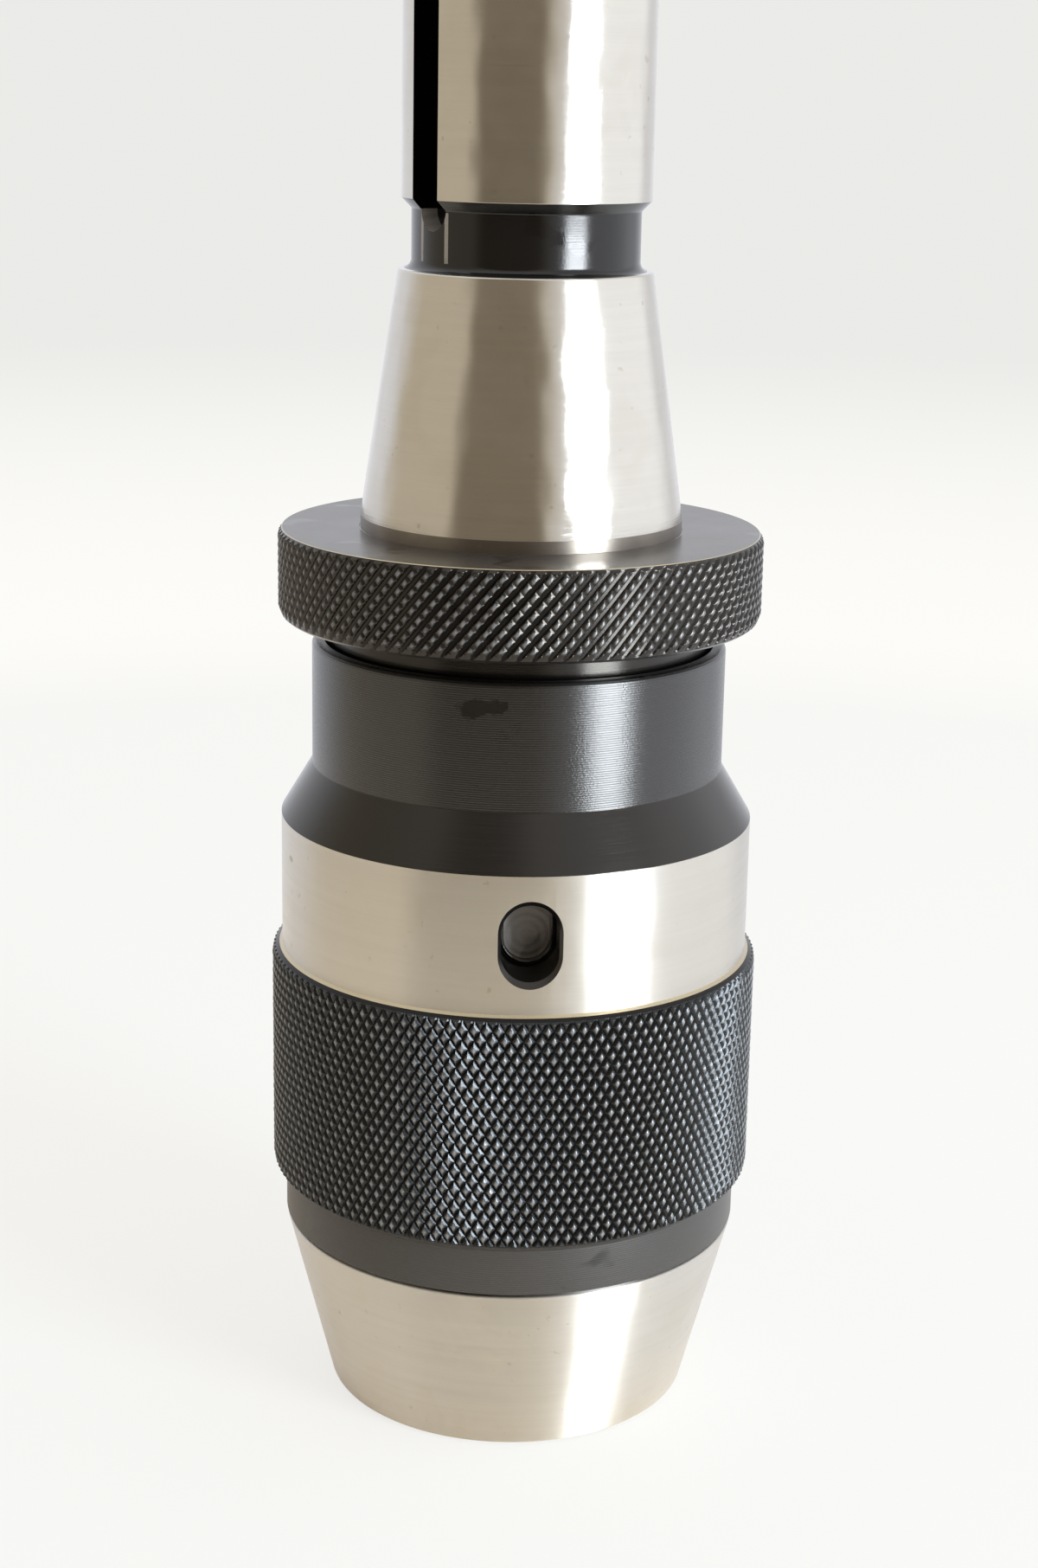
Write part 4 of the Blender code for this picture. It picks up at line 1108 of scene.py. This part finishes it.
shank_end = shank_high.z
gauge = shank_end - GAUGE_TO_END
taper_top = gauge + TAPER_LENGTH
taper_end = GAUGE_RADIUS - TAPER_LENGTH * math.tan(TAPER_HALF_ANGLE)
groove_radius = SHANK_RADIUS - GROOVE_DEPTH
groove_top = taper_top + GROOVE_LENGTH
cup_outer = shank_high.x
cup_inner = cup_outer - CUP_WALL
cup_rim = shank_low.z
shoulder = cup_rim + CUP_HEIGHT
ceiling = shoulder - WEB_THICKNESS
shank_corners = [
    (cup_outer - CUP_CHAMFER, cup_rim),
    (cup_outer, cup_rim + CUP_CHAMFER),
    (cup_outer, shoulder - CUP_CHAMFER),
    (cup_outer - CUP_CHAMFER, shoulder),
    (NECK_RADIUS, shoulder),
    (NECK_RADIUS, RING_TOP - 0.04 * MM),
    (GAUGE_RADIUS, RING_TOP),
    (GAUGE_RADIUS, gauge),
    (taper_end, taper_top, 0.25 * MM),
    (groove_radius, taper_top, 0.9 * MM),
    (groove_radius, groove_top, 0.3 * MM),
    (SHANK_RADIUS, groove_top + GROOVE_SLOPE, EDGE),
    (SHANK_RADIUS, shank_end - END_CHAMFER, EDGE),
    (SHANK_RADIUS - END_CHAMFER, shank_end, EDGE),
    (DRAWBAR_RADIUS + DRAWBAR_CHAMFER, shank_end, 0.1 * MM),
    (DRAWBAR_RADIUS, shank_end - DRAWBAR_CHAMFER),
    (DRAWBAR_RADIUS, shank_end - DRAWBAR_DEPTH),
    (0.0, shank_end - DRAWBAR_DEPTH - DRAWBAR_RADIUS / math.tan(DRILL_POINT_ANGLE)),
]
bore_corners = [
    (0.0, THREAD_BORE_TOP + THREAD_BORE / math.tan(DRILL_POINT_ANGLE)),
    (THREAD_BORE, THREAD_BORE_TOP),
    (THREAD_BORE, ceiling),
    (cup_inner, ceiling),
    (cup_inner, cup_rim),
    (cup_outer - CUP_CHAMFER, cup_rim),
]
shank_mesh = tidy(turn("shank", shank_corners + bore_corners, finish["shank"], closed=False))
print("taper from", round(GAUGE_RADIUS / MM, 2), "to", round(taper_end / MM, 2), "mm radius")

# %% [markdown]
# The keyway is an end mill's path: flat walls, a flat floor, and a half round where the mill plunged in.
# Its cutter is an obround too, which runs out past the shank's end.

# %% Keyway
KEYWAY_WIDTH = 4.0 * MM
KEYWAY_DEPTH = 3.0 * MM
KEYWAY_RUNOUT = 1.9 * MM
KEYWAY_ANGLE = math.radians(-147.0)
keyway_floor = SHANK_RADIUS - KEYWAY_DEPTH
keyway_foot = groove_top - KEYWAY_RUNOUT

keyway_sections = [
    obround(KEYWAY_WIDTH / 2, keyway_foot, shank_end + KEYWAY_WIDTH, depth)
    for depth in (keyway_floor, SHANK_RADIUS + OVERRUN)
]
keyway_cutter = loft("keyway_cutter", keyway_sections)
keyway_cutter.transform(Matrix.Rotation(KEYWAY_ANGLE + math.pi / 2, 4, "Z"))
shank_mesh = tidy(carve(shank_mesh, keyway_cutter))


def shank_rule(radius, height, face):
    outward = Vector((math.cos(KEYWAY_ANGLE), math.sin(KEYWAY_ANGLE), 0.0))
    sideways = abs(face.center.x * outward.y - face.center.y * outward.x)
    within = sideways < KEYWAY_WIDTH / 2 + 0.01 * MM and face.center.dot(outward) > keyway_floor - 0.01 * MM
    if within and height > keyway_foot - 0.01 * MM and radius < SHANK_RADIUS - 0.02 * MM:
        return "mill" if height < groove_top + 0.2 * MM else "groove"
    if taper_top + 0.02 * MM < height < groove_top + GROOVE_SLOPE and radius < taper_end:
        return "groove"
    return "land" if height < gauge + 0.01 * MM else "shank"


paint(shank_mesh, ("shank", "groove", "land", "mill"), shank_rule)
place_piece("shank", shank_mesh, "shank", "ground_steel", "shank_body")

# %% [markdown]
# ## The drawbar's thread
# The milling machine's drawbar screws into the shank's far end. Such a thread could be cut with a Boolean.
# A helix is a curve, so the tree lays a spiral in the bore and sweeps the ridge between two turns of the
# thread along it. The ridge sinks a little into the bore's wall, so no gap shows.

# %% Drawbar thread
THREAD_PITCH = 1.27 * MM
THREAD_CREST = 4.95 * MM
THREAD_SINK = 0.10 * MM
THREAD_LEAD_IN = 0.9 * MM
THREAD_LENGTH = 30.0 * MM
THREAD_STEPS = 28
RIDGE_CORNERS = 4


def thread_tree():
    graph, entry = new_tree("thread", ["Steps"], ["Turns", "Pitch", "Crest", "Root", "Base"])
    middle = (entry["Crest"] + entry["Root"]) * 0.5
    half_depth = (entry["Root"] - entry["Crest"]) * 0.5
    spiral = {
        "Resolution": entry["Steps"],
        "Rotations": entry["Turns"],
        "Start_Radius": middle,
        "End_Radius": middle,
        "Height": entry["Turns"] * entry["Pitch"],
    }
    path = graph.add("GeometryNodeCurveSpiral", **spiral)
    lift = graph.joined(0.0, 0.0, entry["Base"])
    path = graph.add("GeometryNodeSetPosition", Geometry=path, Offset=lift)
    ridge = graph.add("GeometryNodeCurvePrimitiveCircle", Resolution=RIDGE_CORNERS, Radius=half_depth)
    swept = graph.add("GeometryNodeCurveToMesh", Curve=path, Profile_Curve=ridge, Fill_Caps=True)
    return close_tree(graph, entry, swept)


THREAD_TURNS = THREAD_LENGTH / THREAD_PITCH
thread_mesh = grow(
    "drawbar_thread",
    thread_tree(),
    finish["shank"],
    Turns=THREAD_TURNS,
    Pitch=THREAD_PITCH,
    Crest=THREAD_CREST,
    Root=DRAWBAR_RADIUS + THREAD_SINK,
    Base=shank_end - THREAD_LEAD_IN - THREAD_LENGTH,
    Steps=THREAD_STEPS,
)
thread_mesh = tidy(thread_mesh)
place_piece("drawbar_thread", thread_mesh, "shank", "ground_steel")
print("thread turns:", round(THREAD_TURNS, 1))

# %% [markdown]
# ## The inner pieces
# The jaws, their guide, the drive screw and the bearing keep their CAD shapes. They only need their finish,
# put into the material slots of the CAD objects.

# %% Inner finishes
HARD_TINT = (0.46, 0.45, 0.44)
BEARING_TINT = (0.72, 0.72, 0.73)
BRONZE_TINT = (0.60, 0.40, 0.18)
RUBBER = (0.012, 0.012, 0.012)
DUSTY_RUBBER = (0.030, 0.029, 0.028)


def rubber():
    made, graph = new_finish("seal_rubber")
    grain = graph.noise(shader_place(graph, 0.0)[0], 6.0)
    tone = graph.blend(grain, RUBBER, DUSTY_RUBBER)
    bump = graph.add("ShaderNodeBump", Strength=0.3, Distance=0.03 * MM, Height=grain)
    close_finish(graph, Base_Color=tone, Roughness=0.55 + grain * 0.2, Normal=bump)
    return made


hard_steel = ground_steel("hardened_steel", HARD_TINT, gloss=0.30, seed=71.0)
bearing_steel = ground_steel("bearing_steel", BEARING_TINT, 0.12, grain=0.3, wave=0.2, smear=0.3, seed=83.0)
bronze = ground_steel("bronze", BRONZE_TINT, gloss=0.30, seed=91.0)
# The first start that fits a name counts, so the cage comes before the balls
inner = {
    "jaw": hard_steel,
    "drive_screw": hard_steel,
    "ball_cage": bronze,
    "ball": bearing_steel,
    "drill_stop": bearing_steel,
    "lower_race": bearing_steel,
    "upper_race": bearing_steel,
    "upper_bush": bronze,
    "dust_seal": rubber(),
}
dressed = 0
for name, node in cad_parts.items():
    kind = next((start for start in inner if name.startswith(start)), None)
    if kind:
        node.data.materials.clear()
        node.data.materials.append(inner[kind])
        dressed += 1
print("inner pieces dressed:", dressed)
